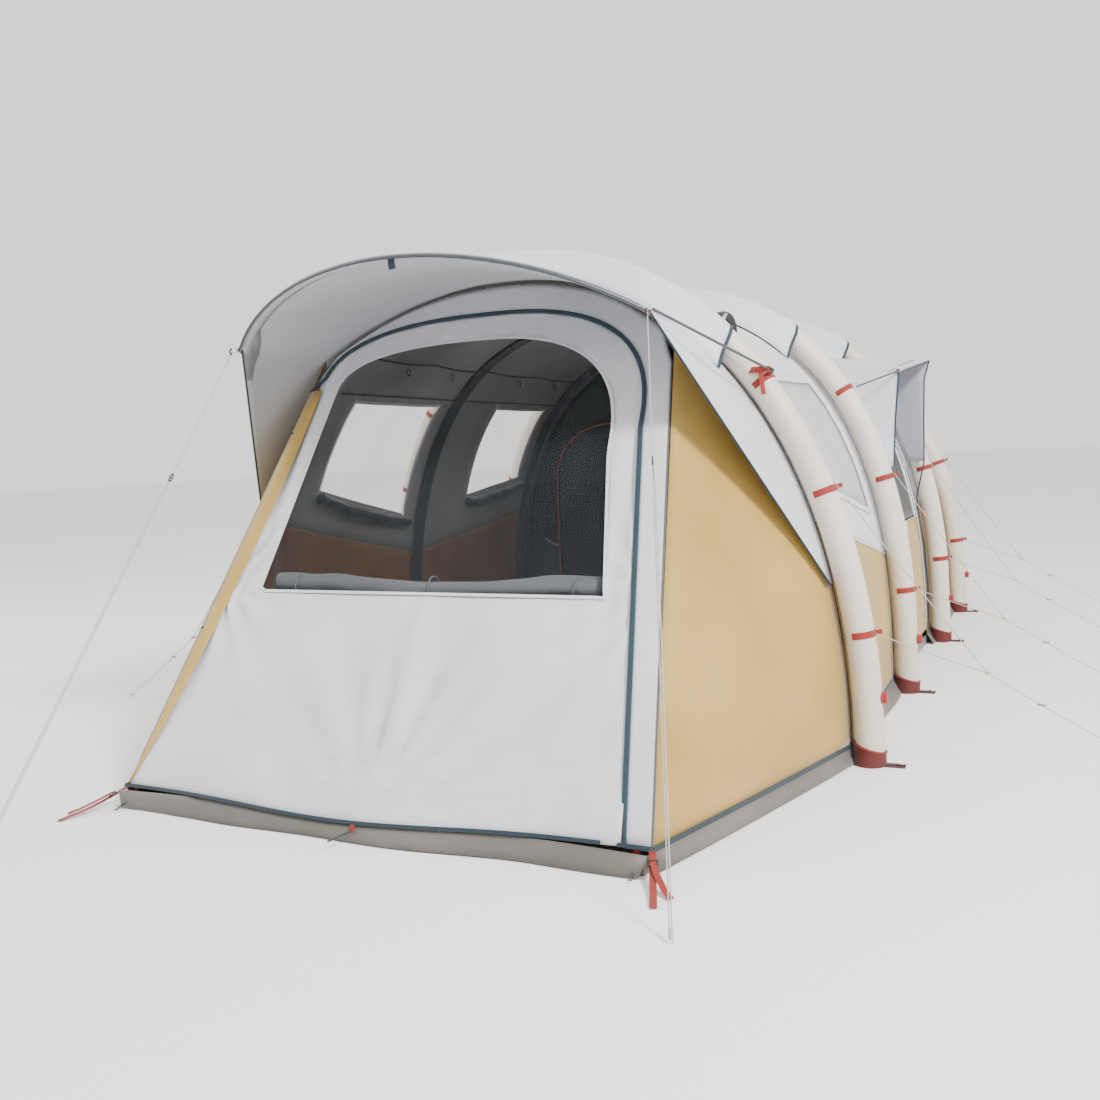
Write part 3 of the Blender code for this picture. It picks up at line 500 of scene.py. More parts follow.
def round_line(name: str, points: Sequence[Vector], radius: float, finish: Finish,
               body: str = ROOT, closed: bool = False, node: Sequence[str] = (),
               sides: int = 2) -> Piece:
    """Make a piping, rod, ring or cord as a round line through points.

    Args:
        name: the piece's name.
        points: the line's middle.
        radius: half its thickness.
        finish: what it is made of.
        body: body that it moves with.
        closed: whether its ends meet.
        node: CAD nodes that it stands for.
        sides: bevel resolution.
    Returns:
        The piece, a curve.
    """
    data = bpy.data.curves.new(name, "CURVE")
    data.dimensions = "3D"
    data.bevel_depth = radius
    data.bevel_resolution = sides
    data.use_fill_caps = True
    spline = data.splines.new("POLY")
    spline.points.add(len(points) - 1)
    for target, point in zip(spline.points, points):
        target.co = (*point, 1.0)
    spline.use_cyclic_u = closed
    spline.use_smooth = True
    return finish_piece(link(name, data), finish, body, node)


def flat_line(name: str, points: Sequence[Vector], outward: Sequence[Vector], width: float,
              finish: Finish, body: str = ROOT, thickness: float = 0.0016,
              node: Sequence[str] = ()) -> Piece:
    """Make a flat band, such as webbing or tape, that follows points.

    Args:
        name: the piece's name.
        points: the band's middle line, on the surface that it lies on.
        outward: direction away from that surface at each point.
        width: the band's width.
        finish: what it is made of.
        body: body that it moves with.
        thickness: how thick it is.
        node: CAD nodes that it stands for.
    Returns:
        The piece.
    """
    vertices = []
    count = len(points)
    for i, (point, out) in enumerate(zip(points, outward)):
        along = points[min(i + 1, count - 1)] - points[max(i - 1, 0)]
        out = out.normalized()
        side = along.cross(out).normalized() * width / 2
        vertices += [point - side, point + side, point + side + out * thickness,
                     point - side + out * thickness]
    faces = [[3, 2, 1, 0]]
    for i in range(count - 1):
        for j in range(4):
            k = (j + 1) % 4
            faces.append([4 * i + j, 4 * i + k, 4 * i + 4 + k, 4 * i + 4 + j])
    last = 4 * (count - 1)
    faces.append([last, last + 1, last + 2, last + 3])
    mesh = bpy.data.meshes.new(name)
    mesh.from_pydata(vertices, [], faces)
    piece = link(name, mesh)
    activate(piece)
    bpy.ops.object.mode_set(mode="EDIT")
    bpy.ops.mesh.select_all(action="SELECT")
    bpy.ops.mesh.normals_make_consistent(inside=False)
    bpy.ops.object.mode_set(mode="OBJECT")
    bpy.ops.object.shade_smooth_by_angle(angle=math.radians(35))
    return finish_piece(piece, finish, body, node)


def ripple(point: Vector, size: float, scale: float = 4.0) -> float:
    """Smooth unevenness of cloth at a point.

    Args:
        point: where.
        size: largest offset.
        scale: how many ripples there are in a metre.
    Returns:
        Offset from minus size to size.
    """
    return size * noise.noise(point * scale)


def spaced(breaks: Sequence[float], counts: Sequence[int]) -> list[float]:
    """Values through the breaks, with a number of even steps in each stretch."""
    values = [breaks[0]]
    for (a, b), count in zip(zip(breaks, breaks[1:]), counts):
        values += [a + (b - a) * i / count for i in range(1, count + 1)]
    return values


def even(points: Sequence[Vector], count: int, closed: bool = False) -> list[Vector]:
    """The same path as evenly spaced points.

    Args:
        points: the path.
        count: how many points to give.
        closed: whether the path returns to its start.
    Returns:
        The new points.
    """
    path = list(points) + ([points[0]] if closed else [])
    lengths = [0.0]
    for a, b in zip(path, path[1:]):
        lengths.append(lengths[-1] + (b - a).length)
    spaces = count if closed else count - 1
    result, k = [], 0
    for i in range(count):
        target = lengths[-1] * i / spaces
        while k < len(path) - 2 and lengths[k + 1] < target:
            k += 1
        share = (target - lengths[k]) / max(lengths[k + 1] - lengths[k], 1e-9)
        result.append(path[k].lerp(path[k + 1], min(share, 1.0)))
    return result


def matched_loops(inner: Sequence[Vector], outer: Sequence[Vector],
                  heart: Vector) -> tuple[list[Vector], list[Vector]]:
    """Pair two closed outlines by bearing from a point inside both.

    Args:
        inner: inner outline in the plane.
        outer: outer outline in the plane.
        heart: point that sees all of both outlines.
    Returns:
        The two outlines, point for point at the same bearings.
    """
    def bearing(p: Vector) -> float:
        """Direction of a point from the heart."""
        return math.atan2(p.y - heart.y, p.x - heart.x)

    def hit(loop: Sequence[Vector], angle: float) -> Vector:
        """Where a ray from the heart meets an outline."""
        ray = Vector((math.cos(angle), math.sin(angle)))
        for a, b in zip(loop, list(loop[1:]) + [loop[0]]):
            edge, gap = b - a, a - heart
            cross = ray.x * edge.y - ray.y * edge.x
            if abs(cross) < 1e-12:
                continue
            far = (gap.x * edge.y - gap.y * edge.x) / cross
            share = (gap.x * ray.y - gap.y * ray.x) / cross
            if far > 0 and -1e-7 <= share <= 1 + 1e-7:
                return heart + ray * far
        return min(loop, key=lambda p: abs(math.remainder(bearing(p) - angle, math.tau)))

    angles = sorted(bearing(p) for p in list(inner) + list(outer))
    angles = [a for i, a in enumerate(angles) if i == 0 or a - angles[i - 1] > 0.002]
    return [hit(inner, a) for a in angles], [hit(outer, a) for a in angles]


# ---------------------------------------------------------------- the shape everything follows
@dataclass(frozen=True)
class TunnelForm:
    """The tunnel's section and end walls, as the frame has them."""

    front: float = -3.15
    rear: float = 3.15
    arches: tuple[float, ...] = (-1.78, -0.45, 1.03, 2.26)
    sections: tuple[tuple[float, float, float], ...] = (
        (1.510, 2.095, 2.2), (1.490, 2.080, 2.6), (1.515, 2.080, 2.65), (1.520, 2.060, 2.4))
    tube: float = 0.058
    inset: float = 0.066
    hem: float = 0.065
    front_lean: float = 0.66
    rear_lean: float = 0.42
    borders: tuple[float, ...] = (0.97, 0.70, 0.86, 0.92)

    def section(self, y: float) -> tuple[float, float, float]:
        """Half width, height and power of the section at y."""
        y = min(max(y, self.arches[0]), self.arches[3])
        k = 0
        while k < 2 and y > self.arches[k + 1]:
            k += 1
        t = (y - self.arches[k]) / (self.arches[k + 1] - self.arches[k])
        a, b = self.sections[k], self.sections[k + 1]
        return a[0] + t * (b[0] - a[0]), a[1] + t * (b[1] - a[1]), a[2] + t * (b[2] - a[2])

    def skin(self, turn: float, y: float, inset: float | None = None) -> Vector:
        """Point of the section at a turn, 0 at the right foot to 1 at the left foot."""
        inset = self.inset if inset is None else inset
        half, height, power = self.section(y)
        angle = math.pi * min(max(turn, 0.0), 1.0)
        across = math.cos(angle)
        x = (half - inset) * math.copysign(abs(across) ** (2 / power), across)
        return Vector((x, y, (height - inset) * max(math.sin(angle), 0.0) ** (2 / power)))

    def turn_at(self, level: float, y: float, inset: float | None = None) -> float:
        """Turn on the right half at which the section reaches a height."""
        inset = self.inset if inset is None else inset
        _, height, power = self.section(y)
        return math.asin(min(level / (height - inset), 1.0) ** (power / 2)) / math.pi

    def skin_at(self, level: float, y: float, inset: float | None = None) -> Vector:
        """Point of the right wall at a height."""
        return self.skin(self.turn_at(level, y, inset), y, inset)

    def border(self, y: float) -> float:
        """Height of the seam between the sand and the white cloth."""
        if y <= self.arches[0]:
            return self.borders[0]
        for k in range(3):
            if y <= self.arches[k + 1]:
                t = (y - self.arches[k]) / (self.arches[k + 1] - self.arches[k])
                return self.borders[k] + t * (self.borders[k + 1] - self.borders[k])
        return self.borders[3]

    def frame_at(self, turn: float, y: float) -> tuple[Vector, Vector, Vector]:
        """Middle of the tube at a turn, the way along it, and the way out of the tunnel."""
        here = self.skin(turn, y, 0.0)
        along = (self.skin(turn + 0.004, y, 0.0) - self.skin(turn - 0.004, y, 0.0)).normalized()
        out = along.cross(Vector((0, 1, 0))).normalized()
        if out.dot(here - Vector((0, y, 0.7))) < 0:
            out = -out
        return here, along, out

    def wall_x(self, z: float) -> float:
        """Half width of the end walls at a height."""
        return 1.07 - 0.145 * (z - self.hem)

    def on_front(self, x: float, z: float, lift: float = 0.0) -> Vector:
        """Point on the leaning front wall, moved out of it by lift."""
        out = Vector((0, -1, self.front_lean)).normalized()
        return Vector((x, self.front + self.front_lean * z, z)) + out * lift

    def on_rear(self, x: float, z: float, lift: float = 0.0) -> Vector:
        """Point on the leaning rear wall, moved out of it by lift."""
        out = Vector((0, 1, self.rear_lean)).normalized()
        return Vector((x, self.rear - self.rear_lean * z, z)) + out * lift


FORM = TunnelForm()
HOOD_CORNER = Vector((0.895, FORM.front + 0.643, 1.756))
HOOD_APEX = Vector((0.0, FORM.front + 0.357, 1.990))
FRONT_OUT = Vector((0, -1, FORM.front_lean)).normalized()


def quarter(centre: tuple[float, float], radii: tuple[float, float], start: float, end: float,
            steps: int, power: float = 0.8) -> list[Vector]:
    """Points of a superelliptic arc, in the plane, between two angles in degrees."""
    points = []
    for i in range(steps + 1):
        angle = math.radians(start + (end - start) * i / steps)
        c, s = math.cos(angle), math.sin(angle)
        points.append(Vector((centre[0] + radii[0] * math.copysign(abs(c) ** power, c),
                              centre[1] + radii[1] * math.copysign(abs(s) ** power, s))))
    return points


def straight(start: tuple[float, float], end: tuple[float, float], steps: int) -> list[Vector]:
    """Points of the plane from start to end, without the last."""
    a, b = Vector(start), Vector(end)
    return [a.lerp(b, i / steps) for i in range(steps)]


# ---------------------------------------------------------------- fittings, modelled once each
@dataclass
class Fittings:
    """Small moulded parts, each modelled once and copied to where it is used."""

    made: dict[str, bpy.types.Mesh] = field(default_factory=dict)

    def ladder_lock(self) -> bpy.types.Mesh:
        """Buckle plate with a slot through it and a raised bar, 34 mm wide."""
        if "ladder_lock" not in self.made:
            clear_selection()
            bpy.ops.mesh.primitive_cube_add(size=1.0)
            piece = bpy.context.active_object
            piece.scale = (0.034, 0.030, 0.006)
            bpy.ops.object.transform_apply(scale=True)
            bpy.ops.object.mode_set(mode="EDIT")
            bpy.ops.mesh.select_all(action="DESELECT")
            bpy.ops.object.mode_set(mode="OBJECT")
            for polygon in piece.data.polygons:
                polygon.select = abs(polygon.normal.z) > 0.9
            bpy.ops.object.mode_set(mode="EDIT")
            bpy.ops.mesh.inset(thickness=0.006, use_individual=True)
            bpy.ops.mesh.bridge_edge_loops()
            bpy.ops.mesh.select_all(action="SELECT")
            bpy.ops.mesh.bevel(offset=0.0012, segments=2)
            bpy.ops.mesh.normals_make_consistent(inside=False)
            bpy.ops.object.mode_set(mode="OBJECT")
            bpy.ops.mesh.primitive_cylinder_add(vertices=12, radius=0.0022, depth=0.026,
                                                location=(0, 0.002, 0.0015),
                                                rotation=(0, math.pi / 2, 0))
            bar = bpy.context.active_object
            bpy.ops.object.transform_apply(location=True, rotation=True)
            clear_selection()
            bar.select_set(True)
            piece.select_set(True)
            bpy.context.view_layer.objects.active = piece
            bpy.ops.object.join()
            self.made["ladder_lock"] = piece.data
            bpy.data.objects.remove(piece)
        return self.made["ladder_lock"]

    def slider(self) -> bpy.types.Mesh:
        """Line tensioner, a curved plate with a hole at each end, 30 mm long."""
        if "slider" not in self.made:
            clear_selection()
            bpy.ops.mesh.primitive_torus_add(major_radius=0.009, minor_radius=0.0028,
                                             major_segments=20, minor_segments=8)
            piece = bpy.context.active_object
            bpy.ops.object.mode_set(mode="EDIT")
            bpy.ops.mesh.select_all(action="SELECT")
            bpy.ops.transform.resize(value=(0.75, 1.6, 1.0))
            bpy.ops.object.mode_set(mode="OBJECT")
            bpy.ops.mesh.primitive_cylinder_add(vertices=12, radius=0.0026, depth=0.011,
                                                rotation=(0, math.pi / 2, 0))
            bpy.ops.object.transform_apply(rotation=True)
            bar = bpy.context.active_object
            clear_selection()
            bar.select_set(True)
            piece.select_set(True)
            bpy.context.view_layer.objects.active = piece
            bpy.ops.object.join()
            bpy.ops.object.shade_smooth()
            self.made["slider"] = piece.data
            bpy.data.objects.remove(piece)
        return self.made["slider"]

    def valve(self) -> bpy.types.Mesh:
        """Screw cap of an inflation valve with a ribbed rim and a dished face, along +X."""
        if "valve" not in self.made:
            clear_selection()
            bpy.ops.mesh.primitive_cylinder_add(vertices=48, radius=0.0200, depth=0.0078)
            piece = bpy.context.active_object
            for i, polygon in enumerate(piece.data.polygons):
                polygon.select = abs(polygon.normal.z) < 0.1 and i % 2 == 0
            bpy.ops.object.mode_set(mode="EDIT")
            bpy.ops.mesh.select_mode(type="FACE")
            bpy.ops.mesh.extrude_region_shrink_fatten(
                TRANSFORM_OT_shrink_fatten={"value": 0.0012})
            bpy.ops.mesh.select_all(action="DESELECT")
            bpy.ops.object.mode_set(mode="OBJECT")
            for polygon in piece.data.polygons:
                polygon.select = polygon.normal.z > 0.9 and len(polygon.vertices) > 10
            bpy.ops.object.mode_set(mode="EDIT")
            bpy.ops.mesh.inset(thickness=0.0035)
            bpy.ops.mesh.extrude_region_move(TRANSFORM_OT_translate={"value": (0, 0, -0.0025)})
            bpy.ops.mesh.inset(thickness=0.008)
            bpy.ops.mesh.extrude_region_move(TRANSFORM_OT_translate={"value": (0, 0, 0.0022)})
            bpy.ops.object.mode_set(mode="OBJECT")
            piece.data.transform(Matrix.Rotation(math.pi / 2, 4, "Y"))
            bpy.ops.object.shade_smooth_by_angle(angle=math.radians(30))
            self.made["valve"] = piece.data
            bpy.data.objects.remove(piece)
        return self.made["valve"]

    def put(self, name: str, mesh: bpy.types.Mesh, place: Matrix, finish: Finish,
            body: str = ROOT, node: Sequence[str] = ()) -> Piece:
        """Copy a fitting to a place.

        Args:
            name: the copy's name.
            mesh: the fitting's mesh.
            place: where it goes and how it is turned.
            finish: what it is made of.
            body: body that it moves with.
            node: CAD nodes that it stands for.
        Returns:
            The copy, with its own mesh.
        """
        copy = mesh.copy()
        copy.materials.clear()
        copy.transform(place)
        return finish_piece(link(name, copy), finish, body, node)


FIT = Fittings()


def pose_matrix(at: Vector, x_axis: Vector, z_axis: Vector) -> Matrix:
    """Matrix that puts a fitting at a point, its X and Z along two directions."""
    x = x_axis.normalized()
    y = z_axis.cross(x).normalized()
    z = x.cross(y)
    turn = Matrix((x, y, z)).transposed().to_4x4()
    return Matrix.Translation(at) @ turn


def ring_points(at: Vector, normal: Vector, up: Vector, radius: float, stretch: float = 1.0,
                count: int = 16) -> list[Vector]:
    """Points of an oval ring in the plane across normal, its long way along up."""
    side = up.cross(normal).normalized()
    up = normal.cross(side).normalized()
    return [at + side * radius * math.cos(2 * math.pi * i / count)
            + up * radius * stretch * math.sin(2 * math.pi * i / count) for i in range(count)]


# ---------------------------------------------------------------- guy lines
@dataclass
class GuyLines:
    """Forked guy lines of the arches and the two lines of the hood."""

    diameter: float = 0.004
    ring: Vector = field(default_factory=lambda: Vector((1.945, 0.0, 0.385)))
    end: Vector = field(default_factory=lambda: Vector((2.560, 0.13, 0.006)))
    front_end: Vector = field(
        default_factory=lambda: Vector((1.270, FORM.front - 0.393, 0.006)))
    heights: tuple[tuple[float, float], ...] = ((1.08, 0.45), (0.52, 0.05))

    def run(self, start: Vector, end: Vector, sag: float, count: int) -> list[Vector]:
        """Points of a taut line with a slight sag."""
        points = []
        for i in range(count):
            t = i / (count - 1)
            points.append(start.lerp(end, t) - Vector((0, 0, sag * 4 * t * (1 - t))))
        return points

    def cord(self, name: str, points: list[Vector],
             node: Sequence[str] = ()) -> Piece:
        """Make one cord along points."""
        piece = round_line(name, points, self.diameter / 2, CORD_WHITE, node=node, sides=2)
        return piece

    def knot(self, name: str, at: Vector, size: float = 0.0035) -> Piece:
        """Overhand knot, drawn as the trefoil that it is."""
        points = []
        for i in range(40):
            t = 2 * math.pi * i / 40
            points.append(at + size * Vector((math.sin(t) + 2 * math.sin(2 * t),
                                              math.cos(t) - 2 * math.cos(2 * t),
                                              -math.sin(3 * t))))
        return round_line(name, points, 0.0019, CORD_WHITE, closed=True)

    def forked(self, side: Side, k: int) -> None:
        """Guy line of one arch: two branches to a ring, and one line to the ground."""
        y = FORM.arches[k - 1]
        sign = side.value
        tag = f"{side.name.lower()}_{k}"
        ring = Vector((sign * self.ring.x, y, self.ring.z))
        end = Vector((sign * self.end.x, y + self.end.y, self.end.z))
        knot = self.knot(f"guy_knot_{tag}", ring)
        self.cord(f"guy_main_{tag}", self.run(ring, end, 0.006, 24),
                  node=[f"side_guy_{tag}"])
        for name, (height, lean) in zip(("upper", "lower"), self.heights):
            out = Vector((1.0, 0.0, lean)).normalized()
            start = FORM.skin_at(height, y, 0.0) + out * 0.064
            start.x *= sign
            self.cord(f"guy_{name}_{tag}", self.run(start, ring, 0.004, 18))
        way = (end - ring).normalized()
        at = ring.lerp(end, 0.30) - Vector((0, 0, 0.005))
        FIT.put(f"guy_slider_{tag}", FIT.slider(),
                pose_matrix(at, Vector((0, 1, 0)), Vector((1, 0, 0)).cross(way)),
                Moulded("acetal_grey", "#8D8F92", "#77797D"))
        loop = ring_points(end - way * 0.018 + Vector((0, 0, 0.002)), Vector((0, 0, 1)), way,
                           0.008, 2.2)
        round_line(f"guy_loop_{tag}", loop, 0.0018, CORD_WHITE, closed=True)

    def hood(self, side: Side) -> None:
        """Line from a corner of the hood to the ground, doubled below its tensioner."""
        sign = side.value
        tag = side.name.lower()
        top = Vector((sign * (HOOD_CORNER.x + 0.012), HOOD_CORNER.y - 0.030,
                      HOOD_CORNER.z - 0.010))
        end = Vector((sign * self.front_end.x, self.front_end.y, self.front_end.z))
        points = self.run(top, end, 0.008, 36)
        self.cord(f"guy_front_{tag}", points, node=[f"front_guy_{tag}"])
        split = len(points) * 3 // 10
        shift = Vector((sign * 0.009, -0.004, 0.0))
        second = [p + shift * min(1.0, (i + 1) / 3) for i, p in enumerate(points[split:])]
        second[0] = points[split] + shift * 0.3
        self.cord(f"guy_front_return_{tag}", second)
        way = (end - top).normalized()
        FIT.put(f"guy_front_slider_{tag}", FIT.slider(),
                pose_matrix(points[split], way.cross(Vector((0, 0, 1))).cross(way),
                            way.cross(Vector((0, 1, 0)))), CORD_TEAL)
        loop = ring_points(end - way * 0.016 + Vector((0, 0, 0.004)), Vector((1, 0, 0.2)), way,
                           0.006, 2.6)
        round_line(f"guy_front_loop_{tag}", loop, 0.0018, CORD_WHITE, closed=True)
        hook = [top + Vector((0.0, -0.011 * math.sin(a) - 0.004, 0.012 - 0.022
                * (1 - math.cos(a)) / 2)) for a in [math.pi * i / 8 for i in range(9)]]
        round_line(f"guy_front_hook_{tag}", hook, 0.0035, NYLON_BLACK)

    def make(self) -> None:
        """Make every guy line."""
        for k in range(1, 5):
            self.forked(Side.RIGHT, k)
        self.forked(Side.LEFT, 1)
        for side in Side:
            self.hood(side)


# ---------------------------------------------------------------- camera and light
@dataclass(frozen=True)
class Studio:
    """Plain floor, soft light and the camera."""

    spot: tuple[float, float, float] = (2.189, -6.141, 1.290)
    right: tuple[float, float, float] = (0.9065, 0.4202, -0.0411)
    up: tuple[float, float, float] = (-0.0012, 0.0997, 0.9950)
    lens: float = 35.82
    sensor: float = 36.0
    sky: float = 1.4
    key: tuple[float, float, float] = (7.5, -5.6, 7.5)
    inner: tuple[float, float, float] = (0.15, -1.15, 1.66)
    far: tuple[float, float, float] = (-7.0, -3.0, 6.0)

    def camera(self) -> None:
        """Set up the camera."""
        right, up = Vector(self.right).normalized(), Vector(self.up)
        back = right.cross(up).normalized()
        up = back.cross(right)
        data = bpy.data.cameras.new("camera")
        data.lens = self.lens
        data.sensor_width = self.sensor
        data.clip_end = 200.0
        thing = bpy.data.objects.new("camera", data)
        bpy.context.collection.objects.link(thing)
        turn = Matrix((right, up, back)).transposed().to_4x4()
        thing.matrix_world = Matrix.Translation(Vector(self.spot)) @ turn
        bpy.context.scene.camera = thing

    def floor(self) -> None:
        """Lay a large pale floor just under the tent."""
        clear_selection()
        bpy.ops.mesh.primitive_plane_add(size=120.0, location=(0, 20, -0.001))
        floor = bpy.context.active_object
        floor.name = "floor"
        material = bpy.data.materials.new("studio_floor")
        material.use_nodes = True
        shader = material.node_tree.nodes["Principled BSDF"]
        shader.inputs["Base Color"].default_value = linear("#F4F4F4")
        shader.inputs["Roughness"].default_value = 0.9
        shader.inputs["Specular IOR Level"].default_value = 0.1
        floor.data.materials.append(material)

    def lamp(self, name: str, at: tuple[float, float, float], size: float,
             power: float) -> Piece:
        """Hang one square soft light that faces the tent.

        Args:
            name: its name.
            at: where it hangs.
            size: side of its square in metres.
            power: watts.
        Returns:
            The light.
        """
        data = bpy.data.lights.new(name, "AREA")
        data.size = size
        data.energy = power
        thing = bpy.data.objects.new(name, data)
        bpy.context.collection.objects.link(thing)
        way = Vector((0, -0.5, 0.9)) - Vector(at)
        thing.rotation_euler = way.to_track_quat("-Z", "Y").to_euler()
        thing.location = at
        return thing

    def light(self) -> None:
        """Light the set with a bright sky, two soft lamps and a faint one inside the tent."""
        world = bpy.data.worlds.new("sky")
        world.use_nodes = True
        sky = world.node_tree.nodes["Background"]
        sky.inputs["Color"].default_value = (1.0, 1.0, 1.0, 1.0)
        sky.inputs["Strength"].default_value = self.sky
        bpy.context.scene.world = world
        self.lamp("key", self.key, 1.8, 1650.0)
        self.lamp("inside", self.inner, 0.30, 8.0).visible_camera = False
        self.lamp("fill", self.far, 5.0, 260.0)

    def make(self) -> None:
        """Build the set."""
        self.camera()
        self.floor()
        self.light()


# ---------------------------------------------------------------- roof bays and side walls
@dataclass
class Bay:
    """Cloth between two arches: sand below the border, white above, with windows."""

    index: int
    window_right: tuple[float, float] | None = None
    window_left: tuple[float, float] | None = None
    door: tuple[float, float] | None = None
    window_heights: tuple[float, float] = (1.03, 1.58)
    sag: float = 0.012

    def ends(self) -> tuple[float, float]:
        """Front and rear end of the bay."""
        return FORM.arches[self.index - 1] + 0.001, FORM.arches[self.index] - 0.001

    def relief(self, y: float, turn: float) -> float:
        """How far the cloth lies inside the straight skin at a place."""
        start, end = self.ends()
        t = (y - start) / (end - start)
        dip = self.sag * math.sin(math.pi * t) * (0.35 + 0.65 * math.sin(math.pi * turn))
        near = math.exp(-min(y - start, end - y) / 0.16)
        pucker = 0.0035 * near * math.sin(turn * 130 + 9 * noise.noise(Vector((turn * 9, y, 0))))
        loose = 0.004 * math.sin(math.pi * t) * noise.noise(Vector((turn * 11, y * 3.1, 4.0)))
        return dip + pucker * math.sin(math.pi * t) ** 0.5 + loose

    def sill(self, y: float) -> float:
        """Height of the windows' lower edge, which runs along the border of the two cloths."""
        start, end = self.ends()
        return self.window_heights[0] + FORM.border(y) - FORM.border((start + end) / 2)

    def point(self, turn: float, y: float) -> Vector:
        """Point of the cloth's outer face."""
        return FORM.skin(turn, y, FORM.inset + max(self.relief(y, turn), 0.0))

    def at_level(self, level: float, y: float, side: Side) -> Vector:
        """Point of the cloth on one side at a height."""
        turn = FORM.turn_at(level, y)
        return self.point(turn if side is Side.RIGHT else 1 - turn, y)

    def columns(self) -> tuple[list[float], tuple[int, int]]:
        """Stations along the bay, and the first and last column of its openings."""
        start, end = self.ends()
        opening = self.door or self.window_right or self.window_left
        if not opening:
            return spaced([start, end], [26]), (0, 0)
        lead = max(2, round((opening[0] - start) / 0.05))
        tail = max(2, round((end - opening[1]) / 0.05))
        middle = max(6, round((opening[1] - opening[0]) / 0.05))
        return (spaced([start, opening[0], opening[1], end], [lead, middle, tail]),
                (lead, lead + middle - 1))

    def roof(self) -> None:
        """White cloth from border to border over the top, with its openings."""
        ys, (first, last) = self.columns()
        high = self.window_heights[1]
        counts = [4, 10, 7, 16]
        rows: Rows = []
        for side in (Side.RIGHT, Side.LEFT):
            stack: Rows = []
            breaks = [[FORM.turn_at(FORM.border(y) + 0.001, y), FORM.turn_at(self.sill(y), y),
                       FORM.turn_at(high, y), FORM.turn_at(1.93, y), 0.5] for y in ys]
            turns = [spaced(b, counts) for b in breaks]
            for i in range(len(turns[0])):
                stack.append([self.point(t[i] if side is Side.RIGHT else 1 - t[i], y)
                              for t, y in zip(turns, ys)])
            rows += stack if side is Side.RIGHT else list(reversed(stack[:-1]))
        total = len(rows) - 1
        window = range(counts[0], counts[0] + counts[1])

        def keep(r: int, c: int) -> bool:
            """Tell whether the cloth is there."""
            if first <= c <= last:
                if self.window_left and total - 1 - r in window:
                    return False
                if self.window_right and r in window:
                    return False
                if self.door and r < counts[0] + counts[1] - 3:
                    return False
            return True

        cloth_panel(f"roof_cloth_{self.index}", rows, WHITE, WHITE_INSIDE_SHADE,
                    node=[f"roof_{self.index}"], keep=keep)

    def lower(self, side: Side) -> None:
        """Sand cloth from the hem to the border on one side."""
        start, end = self.ends()
        tag = f"{side.name.lower()}_{self.index}"
        spans = [(start, end, f"wall_cloth_{tag}", [f"side_wall_{tag}"])]
        if self.door and side is Side.RIGHT:
            spans = [(start, self.door[0] - 0.002, f"wall_cloth_{tag}", [f"side_wall_{tag}"]),
                     (self.door[1] + 0.002, end, f"jamb_cloth_{tag}", [])]
        for low, high, name, node in spans:
            ys = spaced([low, high], [max(3, round((high - low) / 0.05))])
            rows = []
            for i in range(19):
                t = i / 18
                row = []
                for y in ys:
                    level = FORM.hem + (FORM.border(y) - 0.001 - FORM.hem) * t
                    row.append(self.at_level(level, y, side))
                rows.append(row)
            cloth_panel(name, rows, SAND, SAND_INSIDE_SHADE, node=node)
            hem = [self.at_level(FORM.hem, y, side) for y in ys]
            out = [Vector((side.value, 0, 0))] * len(hem)
            flat_line(f"hem_{name}", [p - Vector((0, 0, -0.006)) for p in hem], out, 0.016, TEAL)
            flap = [[p + Vector((side.value * 0.002, 0, 0.002)) for p in hem],
                    [p + Vector((side.value * (0.018 + 0.006 * math.sin(9 * p.y)), 0, -0.035))
                     for p in hem],
                    [p + Vector((side.value * (0.040 + 0.010 * math.sin(7 * p.y)), 0, -0.061))
                     for p in hem]]
            cloth_panel(f"mud_flap_{name}", flap, FLAP_GREY_AND_SHADE, declare=True)

    def seams(self) -> None:
        """Dark piping along the arches, and the seam between the two cloths."""
        start, end = self.ends()
        for k, y, step in ((self.index, start, 1), (self.index + 1, end, -1)):
            for side in Side:
                points = []
                foot = FORM.turn_at(0.07, y)
                for i in range(61):
                    turn = foot + (0.5 - foot) * i / 60
                    turn = turn if side is Side.RIGHT else 1 - turn
                    away = FORM.tube + 0.010
                    points.append(FORM.skin(turn, y + step * away, FORM.inset - 0.002))
                round_line(f"seam_bay{self.index}_arch{k}_{side.name.lower()}", points, 0.0022,
                           SEAM_PALE)
        for side in Side:
            ys = spaced([start, end], [16])
            points = [self.at_level(FORM.border(y), y, side) for y in ys]
            points = [p + Vector((side.value * 0.0012, 0, 0.0005)) for p in points]
            if self.door and side is Side.RIGHT:
                points = [p for p in points if p.y < self.door[0]]
            out = [Vector((side.value, 0, 0.2))] * len(points)
            flat_line(f"border_seam_{self.index}_{side.name.lower()}", points, out, 0.007,
                      WHITE, thickness=0.0012)

